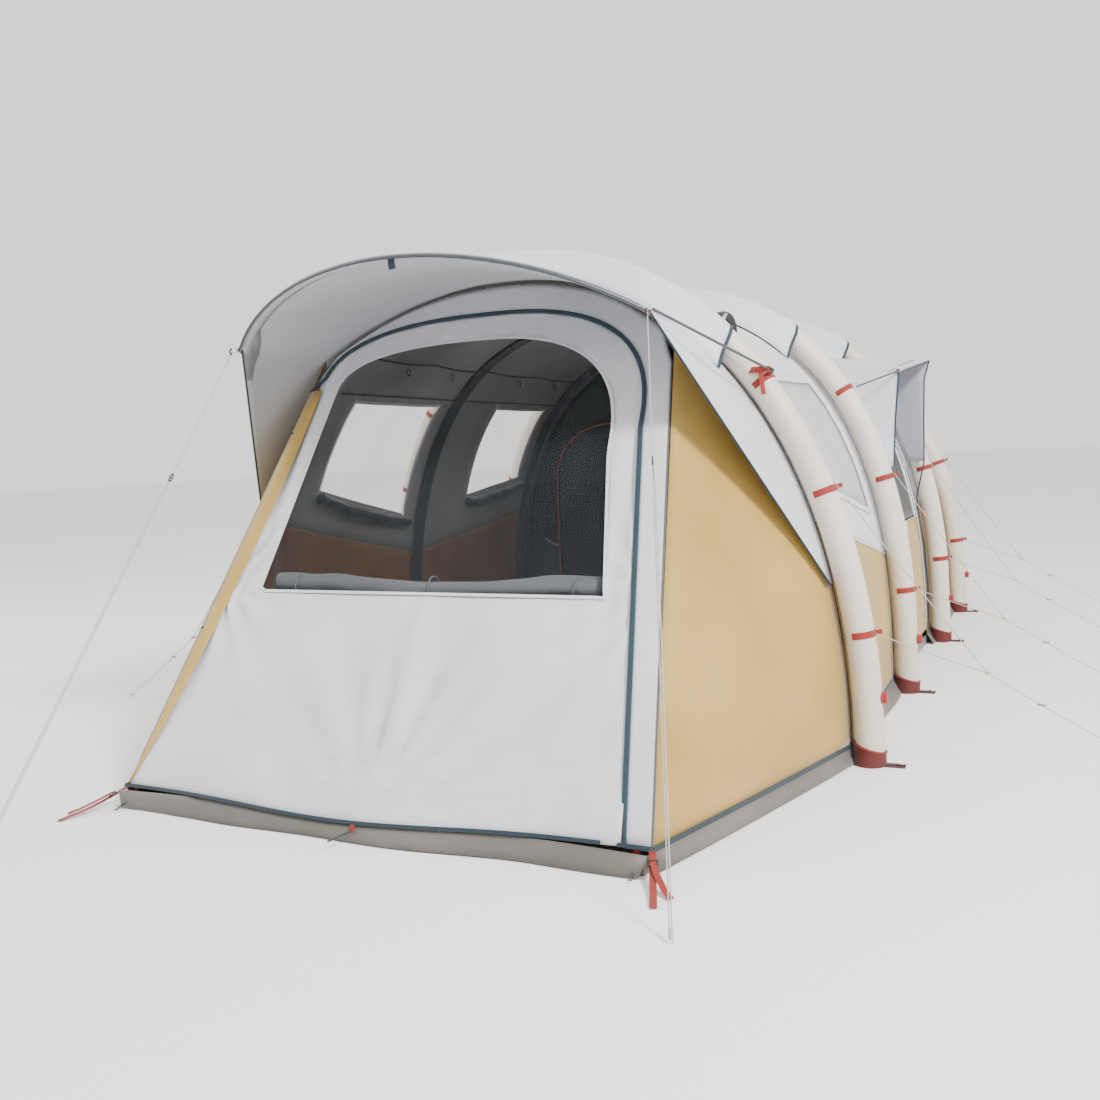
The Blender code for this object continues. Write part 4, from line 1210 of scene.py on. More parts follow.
    def window(self, side: Side, span: tuple[float, float]) -> None:
        """Window in the bay: film, its frame tape, and a closed curtain on the right side."""
        high = self.window_heights[1]
        tag = f"{side.name.lower()}_{self.index}"
        gap = 0.002
        ys = spaced([span[0] + gap, span[1] - gap], [14])
        rows = [[self.at_level(self.sill(y) + gap + (high - 2 * gap - self.sill(y)) * i / 9,
                               y, side) for y in ys] for i in range(10)]
        closed = side is Side.RIGHT
        cloth_panel(f"window_film_{tag}", rows, MILKY if closed else CLEAR,
                    node=[f"side_window_{tag}"], thickness=0.0008)
        if closed:
            behind = [[p - Vector((side.value * (0.010 + 0.004 * math.sin(38 * p.y + 3 * p.z)),
                                   0, 0)) for p in row] for row in rows]
            cloth_panel(f"window_curtain_{tag}", behind, CURTAIN_WHITE)
        edge = [self.at_level(self.sill(y), y, side) for y in spaced([span[0], span[1]], [14])]
        edge += [self.at_level(v, span[1], side)
                 for v in spaced([self.sill(span[1]), high], [10])[1:]]
        edge += [self.at_level(high, y, side) for y in spaced([span[1], span[0]], [14])[1:]]
        edge += [self.at_level(v, span[0], side)
                 for v in spaced([high, self.sill(span[0])], [10])[1:]]
        edge = [p + Vector((side.value * 0.0012, 0, 0.0006)) for p in edge]
        out = [Vector((side.value, 0, 0.35))] * len(edge)
        flat_line(f"window_frame_{tag}", edge, out, 0.034, WHITE, thickness=0.0014)
        inner = [p + Vector((side.value * 0.0022, 0, 0.001)) for p in edge]
        middle = sum(inner, Vector()) / len(inner)
        inner = [p.lerp(middle, 0.055) for p in inner]
        round_line(f"window_stitch_{tag}", inner, 0.0016, SEAM_GREY)
        if not closed:
            roll = []
            for i in range(25):
                y = span[0] - 0.02 + (span[1] - span[0] + 0.04) * i / 24
                p = self.at_level(self.sill(y) - 0.030, y, side)
                roll.append(p - Vector((side.value * 0.036, 0,
                                        0.020 * math.sin(math.pi * i / 24)
                                        + ripple(p, 0.008, 6.0))))
            rolled_curtain(f"curtain_roll_{tag}", roll, 0.030, SLEEVE_GREY, ROOT)

    def make(self) -> None:
        """Make the bay's cloth, seams and windows."""
        self.roof()
        for side in Side:
            self.lower(side)
        self.seams()
        if self.window_right:
            self.window(Side.RIGHT, self.window_right)
        if self.window_left:
            self.window(Side.LEFT, self.window_left)


def rolled_curtain(name: str, points: Sequence[Vector], radius: float, finish: Finish,
                   body: str, node: Sequence[str] = ()) -> Piece:
    """Make a curtain rolled up along a line, with soft uneven turns.

    Args:
        name: the piece's name.
        points: the roll's middle.
        radius: its mean radius.
        finish: what it is made of.
        body: body that it moves with.
        node: CAD nodes that it stands for.
    Returns:
        The piece.
    """
    path = even(list(points), 60)
    vertices, faces = [], []
    sides = 18
    for i, point in enumerate(path):
        along = (path[min(i + 1, 59)] - path[max(i - 1, 0)]).normalized()
        side = along.cross(Vector((0, 0, 1))).normalized()
        up = side.cross(along)
        pinch = 0.12 if i in (0, 59) else 1.0
        for j in range(sides):
            angle = 2 * math.pi * j / sides
            spot = Vector((math.cos(angle) * 1.3, math.sin(angle) * 1.3, i * 0.17))
            size = radius * pinch * (0.88 + 0.20 * noise.noise(spot)
                                     + 0.05 * math.cos(3 * angle + i * 0.12))
            vertices.append(point + (side * math.cos(angle) + up * math.sin(angle)) * size)
    for i in range(59):
        for j in range(sides):
            k = (j + 1) % sides
            faces.append([i * sides + j, (i + 1) * sides + j, (i + 1) * sides + k,
                          i * sides + k])
    faces.append(list(range(sides)))
    faces.append([59 * sides + j for j in reversed(range(sides))])
    mesh = bpy.data.meshes.new(name)
    mesh.from_pydata(vertices, [], faces)
    layer = mesh.uv_layers.new(name="cloth")
    for loop in mesh.loops:
        layer.data[loop.index].uv = ((loop.vertex_index % sides) * 0.012,
                                     (loop.vertex_index // sides) * 0.025)
    piece = link(name, mesh)
    activate(piece)
    bpy.ops.object.mode_set(mode="EDIT")
    bpy.ops.mesh.select_all(action="SELECT")
    bpy.ops.mesh.normals_make_consistent(inside=False)
    bpy.ops.object.mode_set(mode="OBJECT")
    bpy.ops.object.shade_smooth()
    finish_piece(piece, finish, body, node)
    return piece


# ---------------------------------------------------------------- arches
@dataclass
class Arches:
    """Dressing of the air arches: fly sleeves, webbing straps, valves and stake loops."""

    strap_heights: tuple[float, ...] = (1.52, 1.08, 0.52)
    sleeve_reach: tuple[float, ...] = (0.95, 0.93, 0.93, 0.93)
    web: float = 0.026

    def dress_frame(self) -> None:
        """Give the cups and the tray their cloth, and the poles and struts their rod finish."""
        for k in range(1, 5):
            for side in Side:
                self.slot(f"foot_cap_{side.name.lower()}_{k}", FOOT_RED)
        self.slot("groundsheet", TRAY_GREY)
        for name in ("hood_pole", "hood_strut_right", "hood_strut_left", "awning_pole",
                     "awning_strut"):
            self.slot(name, ROD)

    @staticmethod
    def slot(name: str, finish: Finish) -> None:
        """Put a finish on a frame node."""
        node = frame["nodes"][name]
        for slot in node.material_slots:
            slot.material = finish.material()

    def sleeve(self, k: int) -> None:
        """White fly sleeve over the top of one arch, with a teal edge at both ends."""
        y = FORM.arches[k - 1]
        reach = self.sleeve_reach[k - 1]

        def turn_for(x: float) -> float:
            """Turn at which the tube's middle line is that far to the right."""
            turn = 0.5
            while FORM.skin(turn, y, 0.0).x < x:
                turn -= 0.001
            return turn

        profile = [(-0.150, FORM.inset - 0.004), (-0.105, 0.032), (-0.075, 0.002),
                   (-0.052, -0.034), (-0.028, -0.055), (0.0, -0.0615), (0.028, -0.055),
                   (0.052, -0.034), (0.075, 0.002), (0.105, 0.032), (0.150, FORM.inset - 0.004)]
        starts = [turn_for(reach - 0.45 * across) for across, _ in profile]
        turn = turn_for(reach)
        rows = []
        for i in range(61):
            rows.append([FORM.skin(a + (1 - 2 * a) * i / 60, y + across, inset)
                         for a, (across, inset) in zip(starts, profile)])
        cloth_panel(f"fly_sleeve_{k}", rows, WHITE, WHITE_INSIDE_SHADE, heart=Vector((0, y, 0.9)))
        for row, name in ((rows[0], "right"), (rows[-1], "left")):
            here = FORM.frame_at(turn if name == "right" else 1 - turn, y)[0]
            normals = [(p - Vector((here.x, y, here.z))).normalized() for p in row]
            flat_line(f"sleeve_edge_{k}_{name}", row, normals, 0.014, TEAL, thickness=0.0022)

    def tube(self, k: int) -> None:
        """Air tube of one arch in its tight sleeve, with faint hoops where it bends."""
        y = FORM.arches[k - 1]
        foot = FORM.section(y)[0]
        path = [Vector((foot, y, z)) for z in (0.0045, 0.03, 0.06, 0.09)]
        path += [FORM.skin(i / 120, y, 0.0) for i in range(5, 116)]
        path += [Vector((-p.x, p.y, p.z)) for p in reversed(path[:4])]
        path = even(path, 181)
        rows = []
        for i, p in enumerate(path):
            along = (path[min(i + 1, 180)] - path[max(i - 1, 0)]).normalized()
            out = along.cross(Vector((0, 1, 0))).normalized()
            row = []
            for j in range(33):
                angle = math.tau * j / 32
                way = out * math.cos(angle) + Vector((0, 1, 0)) * math.sin(angle)
                hoop = 0.0007 * math.sin(i * 1.9) * max(0.0, math.sin(math.pi * i / 180))
                soft = 0.0012 * noise.noise(Vector((p.x * 3, p.z * 3, angle + k)))
                row.append(p + way * (FORM.tube - 0.001 + hoop + soft))
            row[-1] = row[0].copy()
            rows.append(row)
        cloth_panel(f"air_sleeve_{k}", rows, TUBE_CLOTH, node=[f"air_arch_{k}"],
                    heart=Vector((0, y, 0.2)), thickness=0.0012, declare=False, tubular=True)
        at = Vector((FORM.skin_at(0.27, y, 0.0).x + FORM.tube + 0.003, y, 0.27))
        FIT.put(f"valve_seat_{k}", FIT.valve(), Matrix.Translation(at)
                @ Matrix.Scale(1.15, 4), NYLON_RED)

    def strap(self, k: int, side: Side, height: float) -> None:
        """Red webbing strap round one arch tube, with its end tab."""
        y = FORM.arches[k - 1]
        turn = FORM.turn_at(height, y, 0.0)
        turn = turn if side is Side.RIGHT else 1 - turn
        here, along, out = FORM.frame_at(turn, y)
        radius = FORM.tube + 0.0006
        tag = f"{side.name.lower()}_{k}_{round(height * 100)}"
        across = Vector((0, 1, 0))
        points, normals = [], []
        for i in range(29):
            angle = math.radians(-112 + 224 * i / 28)
            normal = out * math.cos(angle) + across * math.sin(angle)
            points.append(here + normal * radius)
            normals.append(normal)
        flat_line(f"strap_{tag}", points, normals, self.web, WEB_RED, thickness=0.0022)
        tab_start = here + out * (radius + 0.002) + across * 0.006
        tab = [tab_start + out * v + across * v * 0.5 for v in (0.0, 0.006, 0.013, 0.022)]
        if height < 1.4:
            flat_line(f"strap_tab_{tag}", tab, [along.cross(out)] * 4, 0.018, WEB_RED,
                      thickness=0.002)

    def valve(self, k: int) -> None:
        """Ribbed cap on one inflation valve."""
        low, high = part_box(f"valve_cap_{k}")
        at = (Vector(low) + Vector(high)) / 2
        FIT.put(f"valve_dome_{k}", FIT.valve(), Matrix.Translation(at), NYLON_RED,
                f"valve_cap_{k}", [f"valve_cap_{k}"])

    def stake_loop(self, k: int, side: Side) -> None:
        """Steel ring and dark webbing tail beside one foot cup, and the red binding round the cup's
        top.
        """
        y = FORM.arches[k - 1]
        x = FORM.section(y)[0]
        sign = side.value
        tag = f"{side.name.lower()}_{k}"
        ring = ring_points(Vector((sign * (x + 0.117), y, 0.0085)), Vector((0, 0.25, 1)),
                           Vector((1, 0, 0)), 0.013, 1.2)
        round_line(f"stake_ring_{tag}", ring, 0.0026, STEEL, closed=True)
        tail = [Vector((sign * (x + 0.045 + 0.03 * i), y - 0.012 + 0.004 * i, 0.0042 + 0.0005 * i))
                for i in range(4)]
        flat_line(f"stake_web_{tag}", tail, [Vector((0, 0, 1))] * 4, 0.020, WEB_BLACK,
                  thickness=0.0018)
        cup_top = [Vector((sign * x, y, 0)) + Vector((sign * 0.0635 * math.cos(a),
                   0.0635 * math.sin(a), 0.070 - 0.0185 * math.cos(a)))
                   for a in [math.radians(12 * i) for i in range(30)]]
        round_line(f"cup_binding_{tag}", cup_top, 0.0024, WEB_RED, closed=True)

    def make(self) -> None:
        """Make everything on the arches."""
        self.dress_frame()
        for k in range(1, 5):
            self.tube(k)
            self.sleeve(k)
            self.valve(k)
            for side in Side:
                self.stake_loop(k, side)
                for height in self.strap_heights:
                    if height > 1.4 and k > 2:
                        continue
                    self.strap(k, side, height)


# ---------------------------------------------------------------- front wall and door
@dataclass
class FrontEnd:
    """Leaning front wall with its zipped door, big window, rolled curtain and corner straps."""

    hem: float = 0.065
    hem_sag: float = 0.038
    hem_push: float = 0.056
    rings: int = 26
    count: int = 120
    fan_fold: float = 0.016
    wide_fold: float = 0.014
    corner_fold: float = 0.008
    pleat_fold: float = 0.010
    hang_fold: float = 0.005
    drift_fold: float = 0.007

    def wall_outline(self) -> list[Vector]:
        """Right half of the wall's outline, from the hem to the top."""
        side = straight((FORM.wall_x(self.hem), self.hem), (0.82, 1.745), 12)
        y, inset = FORM.arches[0], FORM.inset + 0.022
        reach = FORM.turn_at(1.745, y, inset)
        arc = []
        for i in range(13):
            p = FORM.skin(reach + (0.5 - reach) * i / 12, y, inset)
            arc.append(Vector((p.x, p.z)))
        return side + arc

    def door_outline(self) -> list[Vector]:
        """Door zip, from the hem at the right over the top to the left seam."""
        line = straight((0.975, self.hem), (0.765, 1.36), 14)
        line += quarter((-0.03, 1.36), (0.795, 0.52), 0, 90, 18)
        line += quarter((-0.03, 1.60), (0.765, 0.28), 90, 180, 14)[1:]
        line[-1] = Vector((-FORM.wall_x(1.60), 1.585))
        return line

    def window_outline(self) -> list[Vector]:
        """Closed outline of the window, from its lower right corner."""
        line = straight((0.752, 0.770), (0.655, 1.27), 6)
        line += quarter((-0.05, 1.27), (0.705, 0.50), 0, 90, 14)
        line += quarter((-0.05, 1.58), (0.660, 0.19), 90, 180, 12)[1:-1]
        line += straight((-0.710, 1.58), (-0.755, 0.770), 8)
        line += straight((-0.755, 0.770), (0.752, 0.770), 12)
        return line

    def sag(self, x: float) -> float:
        """How far the hem hangs below its straight line."""
        return -self.hem_sag * math.exp(-((x + 0.05) / 0.6) ** 2)

    def swing_out(self, x: float, z: float) -> float:
        """How far the sagging foot of the door stands out past the groundsheet's edge."""
        return self.hem_push * math.exp(-(x / 0.98) ** 4) * max(0.0, 1 - (z - self.hem) / 0.20)

    def creases(self, x: float, z: float) -> float:
        """Height of the door cloth's folds above the flat wall."""
        way = math.atan2(x - 0.03, max(z - 0.03, 0.01))
        far = math.hypot(x - 0.03, z - 0.03)
        fan = math.sin(way * 17 + 0.8) * math.exp(-((far - 0.32) / 0.30) ** 2)
        corner = math.sin(math.atan2(0.80 - z, x + 0.95) * 15) * math.exp(
            -(math.hypot(x + 0.80, z - 0.75) / 0.35) ** 2)
        corner += math.sin(math.atan2(0.80 - z, 0.95 - x) * 13 + 1) * math.exp(
            -(math.hypot(x - 0.80, z - 0.75) / 0.35) ** 2)
        pleat = math.exp(-((x - 0.03 - 0.02 * (z - 0.1)) / 0.012) ** 2) if z < 0.76 else 0.0
        hang = math.sin(x * 41 + 2 * math.sin(x * 7)) * math.exp(-max(0.76 - z, 0) / 0.10)
        wide = math.sin(way * 9 + 2.1) * math.exp(-((far - 0.55) / 0.28) ** 2)
        drift = noise.noise(Vector((x * 3.1, z * 3.3, 1.0)))
        return (self.fan_fold * fan + self.wide_fold * wide + self.corner_fold * corner
                + self.pleat_fold * pleat + self.hang_fold * hang + self.drift_fold * drift)

    def leaf_loops(self) -> tuple[list[Vector], list[Vector]]:
        """Door edge and window edge as loops that match point to point."""
        edge = [p.copy() for p in self.door_outline()[:-1]]
        middle = Vector((0.0, 1.0))
        edge = [p + (middle - p).normalized() * 0.004 for p in edge]
        seam = -FORM.wall_x(1.575) + 0.001
        foot = -FORM.wall_x(self.hem) + 0.001
        edge += straight((seam, 1.575), (foot, self.hem), 16)
        edge += straight((foot, self.hem), (0.972, self.hem), 20)
        inner = even(self.window_outline(), self.count, closed=True)
        return tuple(reversed(matched_loops(inner, even(edge, self.count, closed=True),
                                            Vector((-0.03, 1.15)))))

    def leaf(self) -> None:
        """Door leaf between its edge and its window."""
        outer, inner = self.leaf_loops()
        rows = []
        for i in range(self.rings + 1):
            t = i / self.rings
            calm = min(t, 1 - t) * 8
            row = []
            for a, b in zip(inner, outer):
                p = a.lerp(b, t)
                sag = self.sag(p.x) * max(0.0, 1 - (p.y - self.hem) / 0.20)
                lift = self.creases(p.x, p.y) * min(calm, 1.0) - 0.003
                lift += self.swing_out(p.x, p.y)
                row.append(FORM.on_front(p.x, p.y + sag, lift))
            rows.append(row + [row[0]])
        cloth_panel("door_cloth", rows, WHITE, WHITE_INSIDE_SHADE, "front_door", ["front_door"],
                    heart=Vector((0, 0, 0.9)))
        face = [FORM.on_front(p.x, p.y, 0.0016) for p in inner]
        out = [FRONT_OUT] * (len(face) + 1)
        flat_line("window_binding", face + [face[0]], out, 0.012, WHITE, "front_door")

    def window(self) -> None:
        """Clear film of the door's window."""
        outline = even(self.window_outline(), 80, closed=True)
        heart = Vector((-0.02, 1.25))
        rows = []
        for i in range(13):
            t = max(i / 12, 0.001)
            row = []
            for p in outline:
                q = heart.lerp(p + (heart - p).normalized() * 0.003, t)
                row.append(FORM.on_front(q.x, q.y, -0.004 + 0.004 * noise.noise(
                    Vector((q.x * 2.5, q.y * 2.5, 7.0))) * (1 - t)))
            rows.append(row + [row[0]])
        cloth_panel("door_window_film", rows, CLEAR, body="front_door", node=["front_window"],
                    heart=Vector((0, 0, 0.9)), thickness=0.0007)

    def curtain(self) -> None:
        """Curtain rolled up along the bottom of the window, inside."""
        points = []
        for i in range(31):
            t = i / 30
            points.append(FORM.on_front(-0.74 + 1.47 * t, 0.822 - 0.014 * math.sin(math.pi * t)
                                        + 0.008 * math.sin(9 * t), -0.060))
        rolled_curtain("door_curtain_roll", points, 0.045, CURTAIN_GREY, "front_door",
                       ["front_curtain"])
        for i, x in enumerate((-0.60, 0.02, 0.62)):
            ring = ring_points(FORM.on_front(x, 0.812, -0.060), Vector((1, 0, 0)), FRONT_OUT,
                               0.048, 1.05, 24)
            round_line(f"curtain_tie_{i}", ring, 0.003, SEAM_GREY, "front_door", closed=True)

    def surround(self) -> None:
        """White band of the wall outside the door."""
        half = self.wall_outline()
        outer = half + [Vector((-p.x, p.y)) for p in reversed(half[:-1])]
        outer = [p for p in outer if not (p.x < 0 and p.y < 1.60)]
        outer.append(Vector((-FORM.wall_x(1.60), 1.60)))
        inner = self.door_outline()
        a, b = even(outer, 90), even(inner, 90)
        rows = []
        for i in range(7):
            t = i / 6
            rows.append([FORM.on_front(p.lerp(q, t).x, p.lerp(q, t).y,
                                       0.003 * math.sin(math.pi * t) * noise.noise(
                                           Vector((p.x * 4, p.y * 4, 2.0))))
                         for p, q in zip(a, b)])
        cloth_panel("front_surround_cloth", rows, WHITE, WHITE_INSIDE_SHADE, node=["front_surround"],
                    heart=Vector((0, 0, 0.9)))

    def trim(self) -> None:
        """Zip, hem binding, seams and sliders."""
        zip_line = [FORM.on_front(p.x, p.y, 0.004) for p in even(self.door_outline(), 120)]
        out = [FRONT_OUT] * len(zip_line)
        flat_line("door_zip_tape", zip_line, out, 0.019, ZIP_TEAL, thickness=0.003)
        round_line("door_zip_coil", [p + FRONT_OUT * 0.003 for p in zip_line], 0.0022, SEAM_BLACK)
        half = self.wall_outline()
        seam = [FORM.on_front(p.x, p.y, 0.002) for p in half[:-1]]
        round_line("front_seam_right", seam, 0.003, SEAM_GREY)
        left = [FORM.on_front(-p.x, p.y, 0.002) for p in half[:-1]]
        round_line("front_seam_left", left, 0.003, SEAM_GREY)
        strip = []
        for i in range(25):
            z = self.hem + 0.012 + (1.575 - self.hem) * i / 24
            x = -FORM.wall_x(z) + 0.004
            wide = 0.012 + 0.078 * math.sin(math.pi * min(i / 24 * 0.80, 1.0)) ** 0.8
            strip.append([FORM.on_front(x, z, 0.006), FORM.on_front(x + wide / 2, z, 0.016),
                          FORM.on_front(x + wide, z, 0.011)])
        cloth_panel("front_sand_strip", strip, SAND, SAND_INSIDE_SHADE, "front_door",
                    heart=Vector((0, 0, 0.9)))
        foot = FORM.wall_x(self.hem)
        hem = []
        for i in range(41):
            x = -foot + 2 * foot * i / 40
            hem.append(FORM.on_front(x, self.hem + 0.004 + self.sag(x),
                                     0.003 + self.swing_out(x, self.hem)))
        flat_line("front_hem_binding_left", hem[:38], [FRONT_OUT] * 38, 0.013, TEAL,
                  "front_door", thickness=0.003)
        flat_line("front_hem_binding_right", hem[38:], [FRONT_OUT] * 3, 0.013, TEAL,
                  thickness=0.003)
        rows = []
        for t in (0.0, 0.5, 1.0):
            row = []
            for i in range(41):
                x = -foot + 2 * foot * i / 40
                top = FORM.on_front(x, self.hem - 0.002 + self.sag(x),
                                    self.swing_out(x, self.hem) - 0.002)
                top.y = min(top.y, FORM.front - 0.003)
                away = (0.020 + 0.008 * math.sin(8 * x)) * t
                row.append(Vector((top.x * (1 - 0.02 * t), top.y - away,
                                   top.z + (0.004 - top.z) * t)))
            rows.append(row)
        cloth_panel("front_mud_flap", rows, FLAP_GREY_AND_SHADE, heart=Vector((0, 0, 0.2)))
        slider = self.door_outline()[-1]
        at = FORM.on_front(slider.x + 0.035, slider.y + 0.02, 0.010)
        FIT.put("door_zip_slider", FIT.ladder_lock(),
                pose_matrix(at, Vector((0.8, 0, 0.5)), FRONT_OUT) @ Matrix.Scale(0.7, 4),
                NYLON_BLACK)
        pull = [at, at + Vector((0.006, -0.004, -0.03)), at + Vector((0.004, -0.004, -0.07))]
        flat_line("door_zip_pull", pull, [FRONT_OUT] * 3, 0.008, WEB_RED)
        for i, z in enumerate((1.40, 0.62)):
            p = FORM.on_front(-FORM.wall_x(z) + 0.02, z, 0.006)
            bar = [p + Vector((-0.012, 0, 0.008)), p, p + Vector((0.014, 0, -0.006))]
            round_line(f"rollup_toggle_{i}", bar, 0.004, NYLON_BLACK, "front_door")
            loop = ring_points(p + Vector((0.004, 0, -0.03)), FRONT_OUT, Vector((0, 0, 1)),
                               0.008, 3.0)
            round_line(f"rollup_loop_{i}", loop, 0.0014, CORD_TEAL, "front_door", closed=True)

    def pegging(self) -> None:
        """Webbing, buckles and elastic loops at the foot of the front wall."""
        tab = FORM.on_front(0.03, self.hem - 0.002 + self.sag(0.03), 0.064)
        flat_line("centre_tab", [tab, tab + Vector((0, -0.006, -0.018)),
                                 tab + Vector((0, -0.016, -0.022))],
                  [Vector((0, -1, 0.3))] * 3, 0.018, WEB_RED)
        down = [tab + Vector((-0.004, -0.014, -0.018)) + Vector((-0.02, -0.10, -0.003)) * t
                for t in (0, 0.33, 0.66, 1.0)]
        back = [p + Vector((0.010, 0.0, 0.001)) for p in reversed(down)]
        round_line("centre_loop", even(down + back, 24), 0.0018, CORD_TEAL, closed=True)
        for side in Side:
            sign = side.value
            tag = side.name.lower()
            foot = Vector((sign * FORM.wall_x(self.hem), FORM.front + 0.043, self.hem))
            end = Vector((sign * 1.16, FORM.front - 0.21, 0.003))
            lock = foot.lerp(end, 0.22)
            slope = (end - foot).normalized()
            up = slope.cross(Vector((0, 0, 1)).cross(slope)).normalized()
            up = up if up.z > 0 else -up
            FIT.put(f"corner_lock_{tag}", FIT.ladder_lock(),
                    pose_matrix(lock, slope.cross(up), up), NYLON_BLACK)
            path = [foot.lerp(end, t) + Vector((0, 0, 0.010 * math.sin(math.pi * t) * -1))
                    for t in (0, 0.12, 0.25, 0.4, 0.6, 0.8, 1.0)]
            path = [Vector((p.x, p.y, max(p.z, 0.0015))) for p in path]
            flat_line(f"corner_web_{tag}", path, [up] * 7, 0.022, WEB_RED)
            tail = [lock + up * 0.005, lock + slope * 0.05 + up * 0.004
                    + Vector((sign * 0.012, 0, -0.006)),
                    lock + slope * 0.11 + Vector((sign * 0.035, 0.0, -0.012)),
                    lock + slope * 0.15 + Vector((sign * 0.05, 0.01, -0.012))]
            tail = [Vector((p.x, p.y, max(p.z, 0.004))) for p in tail]
            flat_line(f"corner_tail_{tag}", tail, [up] * 4, 0.020, WEB_RED)
            ring = ring_points(foot + Vector((-sign * 0.05, -0.010, -0.022)), Vector((0, 1, 0)),
                               Vector((1, 0, 0)), 0.010, 1.0)
            round_line(f"corner_ring_{tag}", ring, 0.0022, STEEL, closed=True)
            start = foot + Vector((-sign * 0.05, -0.012, -0.032))
            loop = [start, start + Vector((sign * 0.006, -0.04, -0.012)),
                    start + Vector((sign * 0.010, -0.09, -0.024)),
                    start + Vector((sign * 0.018, -0.09, -0.024)),
                    start + Vector((sign * 0.012, -0.04, -0.011))]
            loop = [Vector((p.x, p.y, max(p.z, 0.003))) for p in loop]
            round_line(f"corner_loop_{tag}", loop, 0.0018, CORD_TEAL, closed=True)
            flat_line(f"corner_tab_{tag}", [foot + Vector((-sign * 0.05, -0.004, 0.004)),
                                            foot + Vector((-sign * 0.05, -0.008, -0.014))],
                      [Vector((0, -1, 0))] * 2, 0.020, WEB_RED)
            strap = [foot + Vector((-sign * 0.012, 0.01, -0.020)),
                     foot + Vector((-sign * 0.018, 0.015, -0.045)),
                     foot + Vector((-sign * 0.02, 0.02, -0.062))]
            flat_line(f"tray_strap_{tag}", strap, [Vector((0, -1, 0))] * 3, 0.016, WEB_BLACK)

    def side_panels(self) -> None:
        """Sand cloth between the front wall and the first arch."""
        for side in Side:
            rows = []
            for i in range(31):
                t = i / 30
                z = self.hem + (1.73 - self.hem) * t
                edge = FORM.on_front(FORM.wall_x(z) + 0.002, z)
                level = self.hem + (1.60 - self.hem) * t
                root = FORM.skin_at(level, FORM.arches[0], FORM.inset + 0.005)
                root -= Vector((0, 0.001, 0))
                row = []
                for j in range(13):
                    s = j / 12
                    p = root.lerp(edge, s)
                    away = Vector((0.95, -0.3, 0.1)) * math.sin(math.pi * s) * (1 - t) * 0.008
                    fold = 0.004 * math.sin(math.pi * s) * noise.noise(
                        Vector((s * 3 + t * 2, t * 5, 3.0)))
                    p = p + away + Vector((1, 0, 0)) * fold
                    row.append(Vector((side.value * p.x, p.y, p.z)))
                rows.append(row)
            tag = side.name.lower()
            cloth_panel(f"front_side_cloth_{tag}", rows, SAND, SAND_INSIDE_SHADE,
                        node=[f"front_side_panel_{tag}"], heart=Vector((0, -2.3, 0.8)))
            hem = [p + Vector((side.value * 0.001, 0, 0.006)) for p in rows[0]]
            out = [Vector((side.value, -0.35, 0))] * len(hem)
            flat_line(f"front_side_hem_{tag}", hem, out, 0.017, TEAL)
            flap = [[p + Vector((0, 0, -0.001)) for p in rows[0]],
                    [p + Vector((side.value * 0.006, -0.003, -0.030)) for p in rows[0]],
                    [p + Vector((side.value * 0.020, -0.008, -0.059)) for p in rows[0]]]
            cloth_panel(f"front_side_flap_{tag}", flap, FLAP_GREY_AND_SHADE,
                        heart=Vector((0, -2.3, 0.1)))

    def make(self) -> None:
        """Make the whole front."""
        self.surround()
        self.leaf()
        self.window()
        self.curtain()
        self.side_panels()
        self.trim()
        self.pegging()


